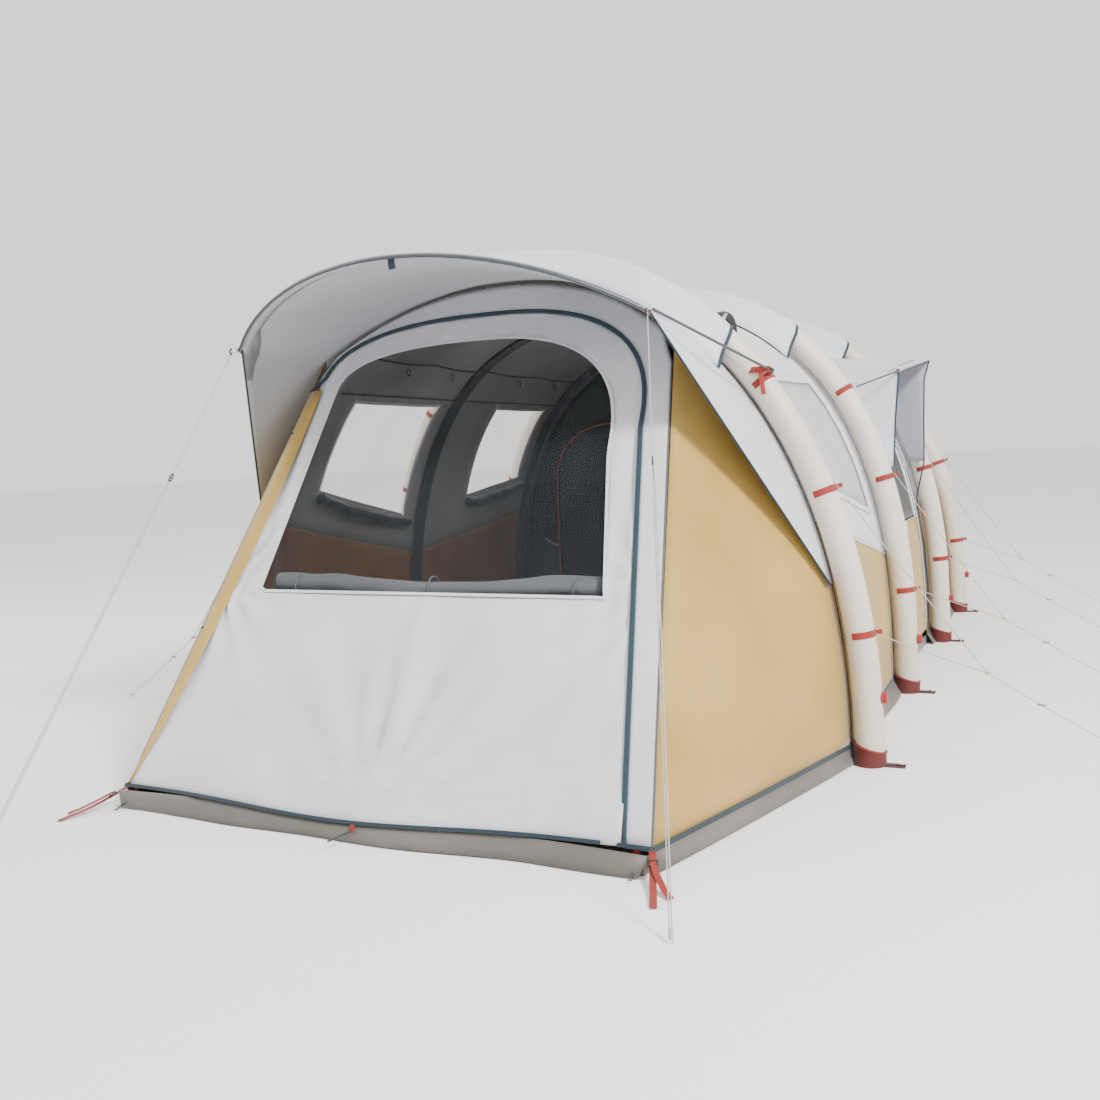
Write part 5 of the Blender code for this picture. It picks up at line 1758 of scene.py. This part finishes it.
# ---------------------------------------------------------------- hood
@dataclass
class Hood:
    """Hood from the first arch forward to its bent pole, with a wing down each side."""

    low_height: float = 0.72
    turn_height: float = 1.68

    def pole(self, count: int) -> list[Vector]:
        """Points along the bent pole, from the right corner to the left."""
        chord = Vector((0, HOOD_CORNER.y, HOOD_CORNER.z))
        rise = HOOD_APEX - chord
        half = HOOD_CORNER.x
        radius = (half ** 2 + rise.length ** 2) / (2 * rise.length)
        centre = chord + rise.normalized() * (rise.length - radius)
        reach = math.asin(half / radius)
        points = []
        for i in range(count):
            angle = reach * (1 - 2 * i / (count - 1))
            points.append(centre + radius * (Vector((1, 0, 0)) * math.sin(angle)
                                             + rise.normalized() * math.cos(angle)))
        return points

    def half_rows(self) -> list[tuple[Vector, Vector]]:
        """Front and root point of each line across the right half of the hood."""
        y = FORM.arches[0]
        low = FORM.turn_at(self.low_height, y)
        corner = FORM.turn_at(self.turn_height, y)
        pole = self.pole(49)[:25]
        lift = Vector((0, 0.010, 0.010))
        low_point = FORM.skin(low, y - 0.045)
        tip = HOOD_CORNER + Vector((0.0, 0.016, 0.004))
        pairs = []
        for i in range(17):
            t = i / 16
            pairs.append((low_point.lerp(tip, t),
                          FORM.skin(low + (corner - low) * t, y - 0.001)))
        for i in range(1, 25):
            t = i / 24
            pairs.append((pole[i] + lift, FORM.skin(corner + (0.5 - corner) * t, y - 0.001)))
        return pairs

    def cloth(self) -> Rows:
        """Hood cloth, tight over the pole and hollow between it and the arch."""
        half = []
        for n, (front, root) in enumerate(self.half_rows()):
            row = []
            for j in range(15):
                s = j / 14
                p = front.lerp(root, s)
                hollow = 0.010 * math.sin(math.pi * s) * (1.0 if n > 16 else 0.4)
                out = Vector((p.x, 0, p.z - 0.6)).normalized()
                row.append(p - out * (hollow + 0.003 * math.sin(math.pi * s) * noise.noise(
                    Vector((n * 0.35, s * 2, 5.0)))))
            half.append(row)
        rows = half + [[Vector((-p.x, p.y, p.z)) for p in row] for row in reversed(half[:-1])]
        cloth_panel("hood_cloth", rows, HOOD_WHITE, HOOD_INSIDE, node=["hood_canopy"],
                    heart=Vector((0, -2.2, 0.7)))
        return rows

    def trim(self, rows: Rows) -> None:
        """Piping, pole sleeve, corner patches, tabs and strut fittings."""
        front = [row[0] for row in rows]
        turn = 16
        right, top, left = front[:turn + 1], front[turn:-turn], front[-turn - 1:]
        round_line("hood_piping_right", right, 0.0042, TEAL)
        round_line("hood_piping_left", left, 0.0042, SEAM_BLACK)
        round_line("hood_piping_top", top, 0.0036, Ribbed("piping_hood", "#A9ABB0", "#85878C", 4.0))
        inner = []
        for row in rows[turn:-turn]:
            a, b = row[0], row[1]
            inner.append(a + (b - a).normalized() * 0.058 - Vector((0, 0, 0.004)))
        under = [[p - Vector((0, 0, 0.0035)) for p in top], [p.copy() for p in inner]]
        mid = [a.lerp(b, 0.5) - Vector((0, 0.004, 0.012)) for a, b in zip(*under)]
        cloth_panel("pole_sleeve", [under[0], mid, under[1]],
                    Cloth("polyester_pole_sleeve", "#B4B5BA", "#A3A4AA"),
                    heart=Vector((0, -2.6, 3.0)))
        round_line("pole_sleeve_seam", inner, 0.0022, SEAM_GREY)
        root = [row[-1] for row in rows]
        round_line("hood_root_seam", [p + Vector((0, -0.004, 0.001)) for p in root], 0.003,
                   SEAM_GREY)
        for side in Side:
            sign = side.value
            tag = side.name.lower()
            corner = Vector((sign * HOOD_CORNER.x, HOOD_CORNER.y + 0.012, HOOD_CORNER.z))
            back = rows[turn] if side is Side.RIGHT else rows[-turn - 1]
            down = rows[turn - 2] if side is Side.RIGHT else rows[-turn + 1]
            up = rows[turn + 5] if side is Side.RIGHT else rows[-turn - 6]
            patch = [[back[0].lerp(down[0], 0.9), back[0].lerp(down[0], 0.5), back[0],
                      back[0].lerp(up[0], 0.5), up[0]],
                     [back[0].lerp(down[1], 0.9), back[0].lerp(down[1], 0.6), back[1],
                      back[1].lerp(up[1], 0.4), up[0].lerp(up[1], 0.4)],
                     [back[1].lerp(down[1], 0.8), back[1].lerp(down[2], 0.4), back[2],
                      back[2].lerp(up[1], 0.4), up[0].lerp(up[1], 0.6)]]
            heart = Vector((0, -2.2, 0.7))
            patch = [[p + (heart - p).normalized() * 0.004 for p in row] for row in patch]
            cloth_panel(f"hood_patch_{tag}", patch,
                        Cloth("polyester_patch_grey", "#8E9096", "#7C7E84"),
                        heart=Vector((0, -2.2, 3.5)))
            tab = [corner + Vector((0, -0.014, -0.004)), corner + Vector((sign * 0.006, -0.024,
                   -0.010)), corner + Vector((sign * 0.012, -0.036, -0.012))]
            flat_line(f"hood_tab_{tag}", tab, [Vector((0, 0, 1))] * 3, 0.022, WEB_RED)
            self.strut_end(side)
        near = min(top, key=lambda p: abs(p.x - 0.04))
        flat_line("hood_loop", [near + Vector((0, 0.004, -0.004)),
                                near + Vector((0.002, 0.000, -0.026)),
                                near + Vector((0.004, 0.002, -0.050))],
                  [Vector((0, -1, 0.2))] * 3, 0.028, TEAL)

    def strut_end(self, side: Side) -> None:
        """Strap, buckle and round end where the hood's strut meets the first arch."""
        sign = side.value
        tag = side.name.lower()
        grip = FORM.skin_at(1.53, FORM.arches[0], 0.0) + Vector((0.052, -0.052, 0.040))
        start = HOOD_CORNER + Vector((0.018, 0.012, 0.004))
        way = (grip - start).normalized()
        grip = Vector((sign * grip.x, grip.y, grip.z))
        way = Vector((sign * way.x, way.y, way.z))
        knob = [grip + way * v for v in (-0.004, 0.004, 0.012, 0.020)]
        round_line(f"strut_knob_{tag}", knob, 0.012, NYLON_BLACK, sides=4)
        out = Vector((sign * 0.30, -0.90, 0.30)).normalized()
        cuff = [grip + Vector((sign * x, y, z)) for x, y, z in (
            (0.006, -0.012, 0.0), (-0.030, -0.014, 0.001), (-0.065, -0.008, 0.001),
            (-0.095, 0.010, 0.003))]
        flat_line(f"strut_cuff_{tag}", cuff, [out] * 4, 0.026, WEB_RED, thickness=0.003)
        FIT.put(f"strut_lock_{tag}", FIT.ladder_lock(),
                pose_matrix(cuff[1] + out * 0.004, Vector((0, 0, 1)), out)
                @ Matrix.Scale(0.7, 4), NYLON_RED)
        tail = [cuff[1] + Vector((sign * 0.10 * v, -0.004, -v)) + out * 0.004
                for v in (0.0, 0.03, 0.06, 0.10)]
        flat_line(f"strut_tail_{tag}", tail, [out] * 4, 0.018, WEB_RED)

    def make(self) -> None:
        """Make the hood."""
        self.trim(self.cloth())


# ---------------------------------------------------------------- side door and its awning
@dataclass
class SideEntrance:
    """Zipped door in the second bay on the right, under a dormer awning."""

    span: tuple[float, float] = (0.10, 0.88)
    heights: tuple[float, float] = (0.10, 1.45)
    net: tuple[float, float] = (0.72, 1.25)
    margin: float = 0.14

    def at(self, level: float, y: float, lift: float = 0.0) -> Vector:
        """Point of the right wall in the second bay."""
        return FORM.skin_at(level, y, FORM.inset - lift)

    def leaf(self) -> None:
        """Door leaf, sand below the border and white above, round its net window."""
        gap = 0.003
        low, high = self.span
        ys = spaced([low + gap, low + self.margin, high - self.margin, high - gap], [3, 10, 3])
        bottom, top = self.heights

        def rows_for(breaks: Callable[[float], list[float]], counts: list[int]) -> Rows:
            """Grid whose levels run through the breaks at each station."""
            stacks = [spaced(breaks(y), counts) for y in ys]
            return [[self.at(stack[i], y, ripple(Vector((i * 0.15, y * 3, 1)), 0.002))
                     for stack, y in zip(stacks, ys)] for i in range(len(stacks[0]))]

        sand = rows_for(lambda y: [bottom + gap, min(FORM.border(y), self.net[0] - 0.004)
                                   if y < 0.4 else min(FORM.border(y), 0.80)], [12])
        white = rows_for(lambda y: [min(FORM.border(y), self.net[0] - 0.004) if y < 0.4
                                    else min(FORM.border(y), 0.80), self.net[1] - 0.53 + 0.0825,
                                    self.net[1], top - gap], [2, 10, 4])

        def keep(r: int, c: int) -> bool:
            """Leave the net's opening out."""
            return not (3 <= c < 13 and 2 <= r < 12)

        cloth_panel("side_door_upper", white, WHITE, WHITE_INSIDE_SHADE, "side_door", ["side_door"],
                    keep=keep)
        cloth_panel("side_door_lower", sand, SAND, SAND_INSIDE_SHADE, "side_door")
        ny = spaced([low + self.margin + gap, high - self.margin - gap], [10])
        net = [[self.at(v, y, -0.001) for y in ny] for v in spaced([0.81, 1.247], [10])]
        cloth_panel("side_door_net", net, NET, None, "side_door", ["side_door_window"],
                    thickness=0.001)

    def trim(self) -> None:
        """White frame bands and the two dark zips."""
        low, high = self.span
        bottom, top = self.heights
        for name, inset, finish, width, body in (
                ("side_door_zip", 0.000, SEAM_BLACK, 0.012, ROOT),
                ("side_door_band", 0.042, WHITE, 0.030, "side_door"),
                ("side_door_coil", 0.074, SEAM_BLACK, 0.010, "side_door")):
            a, b, c, d = low + inset, high - inset, bottom + 0.01 + inset, top - inset
            path = [self.at(v, a, 0.001) for v in spaced([c, d], [20])]
            path += [self.at(d, y, 0.001) for y in spaced([a, b], [10])[1:]]
            path += [self.at(v, b, 0.001) for v in spaced([d, c], [20])[1:]]
            out = [Vector((1, 0, 0.3))] * len(path)
            flat_line(name, path, out, width, finish, body, thickness=0.0020)
        edge = [self.at(v, high + 0.034, 0.001) for v in spaced([0.08, 1.10], [20])]
        flat_line("side_jamb_tape", edge, [Vector((1, 0, 0.2))] * len(edge), 0.014, SEAM_BLACK)

    def awning(self) -> None:
        """Roof extension over the door with a gusset at each end."""
        base = FORM.front
        front, rear = base + 3.03, base + 4.11
        edge = [Vector((1.415, base + 3.10, 1.625)), Vector((1.430, base + 3.43, 1.662)),
                Vector((1.450, base + 3.77, 1.700)), Vector((1.470, base + 4.08, 1.738))]
        drop = [Vector((1.385, base + 3.10, 1.13)), Vector((1.395, base + 3.10, 1.36))]
        fall = [Vector((1.440, base + 4.08, 1.630)), Vector((1.435, base + 4.08, 1.38)),
                Vector((1.435, base + 4.08, 1.13))]
        tips = drop + edge + fall
        roots = [(1.13, front), (1.38, front), (1.62, front), (1.70, front + 0.30),
                 (1.77, rear - 0.34), (1.79, rear), (1.60, rear), (1.38, rear), (1.13, rear)]
        clear = FORM.inset - 0.003 - 0.018
        ends = [FORM.skin_at(h, y, clear) for h, y in roots]
        groups = (("awning_gusset_front", 0, 3), ("awning_roof", 2, 6),
                  ("awning_gusset_rear", 5, 9))
        for name, first, last in groups:
            rows = []
            steps = 6
            for i in range(first, last - 1):
                for k in range(steps + (1 if i == last - 2 else 0)):
                    t = k / steps
                    a, b = tips[i].lerp(tips[i + 1], t), ends[i].lerp(ends[i + 1], t)
                    row = []
                    for j in range(9):
                        s = j / 8
                        p = a.lerp(b, s)
                        p.z -= 0.004 * math.sin(math.pi * s) * (1 + noise.noise(
                            Vector((i + t, s * 2, 3))))
                        row.append(p)
                    rows.append(row)
            node = ["side_awning"] if name == "awning_roof" else []
            # the rear gusset and all inner faces of the awning get the grey painted shade
            outside = HOOD_WHITE if name != "awning_gusset_rear" else GUSSET_PAINTED_SHADE
            cloth_panel(name, rows, outside, GUSSET_PAINTED_SHADE, node=node, heart=Vector((1.2, 0.4, 1.2)))
        round_line("awning_piping_front", [tips[0], tips[1], tips[2]], 0.0042, TEAL)
        round_line("awning_piping_top", edge, 0.0042, TEAL)
        round_line("awning_piping_rear", [tips[5]] + fall, 0.0040, SEAM_BLACK)
        tail = [fall[-1], Vector((1.437, base + 4.085, 0.9)), Vector((1.450, base + 4.09, 0.6)),
                Vector((1.462, base + 4.09, 0.35)), Vector((1.470, base + 4.09, 0.08))]
        tail = [Vector((FORM.skin_at(max(p.z, 0.07), p.y, FORM.inset - 0.006).x
                        if p.z < 1.0 else p.x, p.y, p.z)) for p in tail]
        round_line("awning_tail", even(tail, 20), 0.0045, SEAM_BLACK)
        top = Vector((edge[0].x, edge[0].y, edge[0].z))
        ring = ring_points(top + Vector((0.002, -0.022, 0.014)), Vector((0, 1, 0.4)),
                           Vector((1, 0, 0)), 0.012, 1.3)
        round_line("awning_hook_ring", ring, 0.0028, NYLON_WHITE, closed=True)
        tab = [top + Vector((0.0, -0.004, 0.002)), top + Vector((0.0, -0.014, 0.008)),
               top + Vector((0.0, -0.024, 0.013))]
        flat_line("awning_corner_tab", tab, [Vector((0, 0, 1))] * 3, 0.020, WEB_RED)
        seam = [a.lerp(b, 0.16) + Vector((0, 0, 0.001)) for a, b in zip(tips[2:6], ends[2:6])]
        round_line("awning_sleeve_seam", seam, 0.0020, SEAM_GREY)

    def make(self) -> None:
        """Make the side entrance."""
        self.leaf()
        self.trim()
        self.awning()


# ---------------------------------------------------------------- rear
@dataclass
class RearEnd:
    """Leaning rear wall and the sand cloth between it and the last arch."""

    hem: float = 0.065

    def outline(self) -> list[Vector]:
        """Outline of the rear wall from the right hem over the top to the left hem."""
        half = straight((FORM.wall_x(self.hem), self.hem), (0.82, 1.745), 14)
        y, inset = FORM.arches[0], FORM.inset + 0.022
        reach = FORM.turn_at(1.745, y, inset)
        for i in range(15):
            p = FORM.skin(reach + (0.5 - reach) * i / 14, y, inset)
            half.append(Vector((p.x, p.z)))
        return half + [Vector((-p.x, p.y)) for p in reversed(half[:-1])]

    def make(self) -> None:
        """Make the rear wall, its vent panel, the band round it and its hem."""
        outline = even(self.outline(), 81)
        foot = [Vector((-FORM.wall_x(self.hem) * t, self.hem)) for t in spaced([-1, 1], [80])]
        rows = []
        for i in range(25):
            t = i / 24
            row = []
            for top, low in zip(outline, foot):
                p = low.lerp(top, t)
                row.append(FORM.on_rear(p.x, p.y, 0.003 * math.sin(math.pi * t) * noise.noise(
                    Vector((p.x * 3, p.y * 3, 9.0)))))
            rows.append(row)
        cloth_panel("rear_wall_cloth", rows, WHITE, WHITE_INSIDE_SHADE, node=["rear_wall"],
                    heart=Vector((0, 0, 0.9)))
        y = FORM.arches[3]
        first = FORM.turn_at(self.hem, y)
        band = []
        ring = even(self.outline(), 61)
        for i, p in enumerate(ring):
            turn = first + (1 - 2 * first) * i / 60
            root = FORM.skin(turn, y + 0.001)
            away = Vector((p.x, 0, p.y * 0.6)).normalized() * 0.008
            edge = FORM.on_rear(p.x, p.y) + away
            row = []
            for j in range(11):
                s = j / 10
                q = root.lerp(edge, s)
                out = Vector((q.x, 0, q.z - 0.5)).normalized()
                row.append(q - out * (0.008 * math.sin(math.pi * s)
                                      + 0.003 * noise.noise(Vector((i * 0.2, s * 2, 6.0)))
                                      * math.sin(math.pi * s)))
            band.append(row)
        sand = SAND
        cloth_panel("rear_canopy_cloth", band, sand, SAND_INSIDE_SHADE, node=["rear_canopy"],
                    heart=Vector((0, 2.4, 0.6)))
        seam = [row[-1] + Vector((0, 0.001, 0.001)) for row in band]
        round_line("rear_seam", seam, 0.0032, TEAL)
        hem = [FORM.on_rear(p.x, p.y + 0.008, 0.003) for p in foot]
        out = [Vector((0, 1, 0.42))] * len(hem)
        flat_line("rear_hem", hem, out, 0.018, TEAL)
        flap = [[FORM.on_rear(p.x, p.y - 0.001, -0.002) for p in foot],
                [FORM.on_rear(p.x, p.y - 0.03, -0.004) for p in foot],
                [FORM.on_rear(p.x, p.y - 0.059, -0.022) for p in foot]]
        cloth_panel("rear_mud_flap", flap, FLAP_GREY_AND_SHADE, heart=Vector((0, 0, 0.1)))
        vent = []
        for i in range(9):
            t = i / 8
            vent.append([FORM.on_rear(x, 1.38 + 0.20 * t, 0.004 + 0.045 * (1 - t)
                                      * math.sin(math.pi * (x + 0.36) / 0.72))
                         for x in spaced([-0.36, 0.36], [16])])
        cloth_panel("rear_vent_hood", vent, WHITE, VENT_NET, heart=Vector((0, 0, 0.9)))
        net = [[FORM.on_rear(x, z, 0.003) for x in spaced([-0.34, 0.34], [6])]
               for z in (1.385, 1.46, 1.55)]
        cloth_panel("rear_vent_net", net, VENT_NET, heart=Vector((0, 0, 0.9)),
                    thickness=0.0006)
        round_line("rear_vent_edge", vent[0], 0.0036, TEAL)
        for side in Side:
            rib = [FORM.on_rear(side.value * 0.045 + side.value * FORM.wall_x(z) * 0.55, z, 0.002)
                   for z in spaced([0.075, 1.70], [20])]
            round_line(f"rear_panel_seam_{side.name.lower()}", rib, 0.0018, SEAM_GREY)


# ---------------------------------------------------------------- bedroom compartment
@dataclass
class Bedroom:
    """Light-blocking inner tent behind the third arch, with two zipped doors."""

    y: float = FORM.arches[2] + 0.05
    inset: float = FORM.inset + 0.050

    def door_line(self, side: Side, shrink: float = 0.0) -> list[Vector]:
        """Closed outline of one door in the plane of the front."""
        inner, outer, low = 0.22 + shrink, 1.12 - shrink, 0.14 + shrink
        middle, half = (inner + outer) / 2, (outer - inner) / 2
        line = [Vector((inner, low)), Vector((middle, low)), Vector((outer, low))]
        line += straight((outer, low), (outer, 1.05), 8)[1:]
        line += quarter((middle, 1.05), (half, 0.42 - shrink), 0, 180, 24, 0.9)
        line += straight((inner, 1.05), (inner, low), 8)[1:]
        return [Vector((side.value * p.x, p.y)) for p in line]

    def front(self) -> None:
        """Dark front wall with a door opening on each side."""
        foot = FORM.turn_at(0.075, self.y, self.inset)
        for side in Side:
            hole = even(self.door_line(side), 80, closed=True)
            outline = [Vector((0.0006 * side.value, 0.075))]
            for i in range(41):
                turn = foot + (0.5 - foot) * i / 40
                p = FORM.skin(turn, self.y, self.inset)
                outline.append(Vector((side.value * p.x, p.z)))
            outline[-1].x = 0.0006 * side.value
            outer = even(outline, 80, closed=True)
            heart = sum(hole, Vector((0, 0))) / len(hole)
            inner, edge = matched_loops(hole, outer, heart)
            rows = []
            for k in range(7):
                t = k / 6
                row = []
                for a, b in zip(inner, edge):
                    p = a.lerp(b, t)
                    row.append(Vector((p.x, self.y + 0.001 + 0.004 * math.sin(math.pi * t)
                                       * noise.noise(Vector((p.x * 3, p.y * 3, 1.0))), p.y)))
                rows.append(row + [row[0]])
            tag = side.name.lower()
            node = ["bedroom_front"] if side is Side.RIGHT else []
            cloth_panel(f"bedroom_wall_{tag}", rows, BLACKOUT, node=node,
                        heart=Vector((0, 3.0, 0.9)))

    def door(self, side: Side) -> None:
        """One door leaf with its orange zips and tie-back toggles."""
        outline = even(self.door_line(side, 0.003), 80, closed=True)
        heart = sum(outline, Vector((0, 0))) / len(outline)
        rows = []
        for k in range(15):
            t = max(k / 14, 0.001)
            row = []
            for p in outline:
                q = heart.lerp(p, t)
                fold = 0.010 * (1 - t ** 4) * noise.noise(Vector((q.x * 3.5, q.y * 2.6, 2.0)))
                row.append(Vector((q.x, self.y + 0.001 - fold - 0.004 * (1 - t), q.y)))
            rows.append(row + [row[0]])
        tag = side.name.lower()
        body = f"bedroom_door_{tag}"
        cloth_panel(f"bedroom_leaf_{tag}", rows, BLACKOUT, body=body, node=[body],
                    heart=Vector((0, 3.0, 0.9)))
        line = self.door_line(side, 0.010)
        arc = [Vector((p.x, self.y - 0.002, p.y)) for p in line[3:]]
        flat_line(f"bedroom_zip_{tag}", even(arc, 60), [Vector((0, -1, 0))] * 60, 0.009,
                  ZIP_ORANGE, body, thickness=0.002)
        pocket = [Vector((side.value * (0.63 + 0.10 * math.cos(a)), self.y - 0.012,
                          0.42 + 0.11 * math.sin(a))) for a in
                  [math.pi * i / 14 for i in range(15)]]
        round_line(f"bedroom_pocket_{tag}", pocket, 0.0030, ZIP_ORANGE, body)
        for i, (x, z) in enumerate(((0.62, 1.66), (0.42, 1.62), (0.17, 1.30), (1.17, 0.62))):
            at = Vector((side.value * x, self.y - 0.006, z))
            if abs(at.x) > FORM.skin_at(z, self.y, self.inset).x - 0.06:
                continue
            bar = [at + Vector((-0.05, 0, 0.024)), at + Vector((0, -0.003, 0)),
                   at + Vector((0.05, 0, -0.024))]
            round_line(f"bedroom_toggle_{tag}_{i}", bar, 0.0036, NYLON_WHITE)

    def lining(self) -> None:
        """Tunnel lining over the beds, and the curtain between them."""
        foot = FORM.turn_at(0.075, self.y, self.inset)
        end = FORM.arches[3]
        rows = []
        for i in range(61):
            turn = foot + (1 - 2 * foot) * i / 60
            rows.append([FORM.skin(turn, y, self.inset + 0.006 * math.sin(math.pi * s / 12) * (
                1 + noise.noise(Vector((i * 0.2, y * 2, 8.0)))))
                for s, y in enumerate(spaced([self.y + 0.008, end], [12]))])
        cloth_panel("bedroom_lining_cloth", rows, BLACKOUT, node=["bedroom_lining"])
        divider = [[Vector((0.0015 + 0.006 * noise.noise(Vector((y * 3, z * 1.2, 4.0))), y, z))
                    for y in spaced([self.y + 0.02, end], [16])]
                   for z in spaced([0.010, 1.92], [20])]
        cloth_panel("bedroom_divider_cloth", divider, BLACKOUT, node=["bedroom_divider"],
                    heart=Vector((-1, 1.6, 1)))

    def make(self) -> None:
        """Make the compartment."""
        self.front()
        for side in Side:
            self.door(side)
        self.lining()
        edge = []
        foot = FORM.turn_at(0.09, self.y, self.inset)
        for i in range(81):
            turn = foot + (1 - 2 * foot) * i / 80
            edge.append(FORM.skin(turn, self.y - 0.004, self.inset + 0.004))
        round_line("bedroom_edge_piping", edge, 0.006, SEAM_BLACK)


# ---------------------------------------------------------------- inside trim and roof vents
@dataclass
class InsideTrim:
    """Sleeves, valance and hooks that show through the windows."""

    def sleeves(self) -> None:
        """Grey bands under the second and third arches, inside the tent."""
        for k in (2, 3):
            y = FORM.arches[k - 1]
            foot = FORM.turn_at(0.08, y)
            points, out = [], []
            for i in range(61):
                turn = foot + (1 - 2 * foot) * i / 60
                p = FORM.skin(turn, y, FORM.inset + 0.020)
                points.append(p)
                out.append(Vector((0, y, 0.9)) - p)
            flat_line(f"inner_sleeve_{k}", points, out, 0.105, SLEEVE_GREY, thickness=0.004)
            for step in (-1, 1):
                edge = [p + Vector((0, step * 0.052, 0)) for p in points]
                round_line(f"inner_sleeve_edge_{k}_{'front' if step < 0 else 'rear'}", edge,
                           0.003, SEAM_BLACK)

    def valance(self) -> None:
        """Dark tapes along the top of the windows and the ceiling's edge."""
        for side in Side:
            for name, level in (("window_tape", 1.60), ("valance_tape", 1.76)):
                points = []
                for i in range(41):
                    y = FORM.arches[0] + 0.02 + (FORM.arches[2] - FORM.arches[0] - 0.05) * i / 40
                    p = FORM.skin_at(level, y, FORM.inset + 0.026)
                    drop = 0.012 * abs(math.sin(math.pi * i / 10)) if name[0] == "v" else 0.0
                    points.append(Vector((side.value * p.x, p.y, p.z - drop)))
                round_line(f"{name}_{side.name.lower()}", points, 0.0045, SEAM_BLACK)
            for i, y in enumerate((-1.35, -0.85, 0.05, 0.60)):
                p = FORM.skin_at(1.74, y, FORM.inset + 0.032)
                at = Vector((side.value * p.x, p.y, p.z))
                hook = ring_points(at - Vector((0, 0, 0.030)), Vector((0.3, 1, 0)),
                                   Vector((0, 0, 1)), 0.010, 1.8)
                round_line(f"line_hook_{side.name.lower()}_{i}", hook, 0.0028, NYLON_BLACK,
                           closed=True)

    def make(self) -> None:
        """Make the inside trim."""
        self.sleeves()
        self.valance()


@dataclass
class RoofVents:
    """Hooded vents on the right shoulder of the first two bays, hinged on top."""

    half: float = 0.26

    def make(self) -> None:
        """Make both vents."""
        for k, y in ((1, FORM.arches[0] + 0.50), (2, FORM.arches[1] + 0.50)):
            inset = FORM.inset - 0.006
            upper, lower = FORM.turn_at(1.93, y, inset), FORM.turn_at(1.80, y, inset)
            rows = []
            for i in range(9):
                t = i / 8
                turn = lower + (upper - lower) * t
                row = []
                for across in spaced([-self.half, self.half], [24]):
                    rise = 0.080 * (1 - t) * (1 - (across / self.half) ** 2)
                    p = FORM.skin(turn, y - across, inset)
                    out = Vector((p.x, 0, p.z * 0.8)).normalized()
                    row.append(p + out * (rise + 0.002))
                rows.append(row)
            body = f"roof_vent_{k}"
            cloth_panel(f"vent_hood_{k}", rows, WHITE, VENT_NET, body, [body],
                        heart=Vector((0, y, 0.9)))
            round_line(f"vent_edge_{k}", rows[0], 0.0036, TEAL, body)
            net = []
            for t in (0.04, 0.35, 0.7):
                turn = lower + (upper - lower) * t
                net.append([FORM.skin(turn, y - across, inset + 0.004)
                            for across in spaced([-self.half + 0.02, self.half - 0.02], [12])])
            cloth_panel(f"vent_net_{k}", net, VENT_NET, heart=Vector((0, y, 0.9)),
                        thickness=0.0008)
            prop = [FORM.skin(lower, y, inset), FORM.skin(lower, y, inset - 0.036),
                    FORM.skin(lower + 0.001, y, inset - 0.074)]
            flat_line(f"vent_prop_{k}", prop, [Vector((0, 1, 0))] * 3, 0.016, NYLON_WHITE,
                      body)


def main() -> None:
    """Build every sub-assembly in order."""
    logging.basicConfig(level=logging.INFO, format="%(message)s")
    Studio().make()
    GuyLines().make()
    low, high = FORM.front + 3.25, FORM.front + 4.03
    window = (FORM.arches[0] + 0.22, FORM.arches[1] - 0.17)
    for bay in (Bay(1, window_right=window, window_left=window),
                Bay(2, window_left=(low, high), door=(low, high)), Bay(3)):
        bay.make()
    Arches().make()
    FrontEnd().make()
    Hood().make()
    SideEntrance().make()
    RearEnd().make()
    Bedroom().make()
    InsideTrim().make()
    RoofVents().make()


if __name__ == "__main__":
    main()
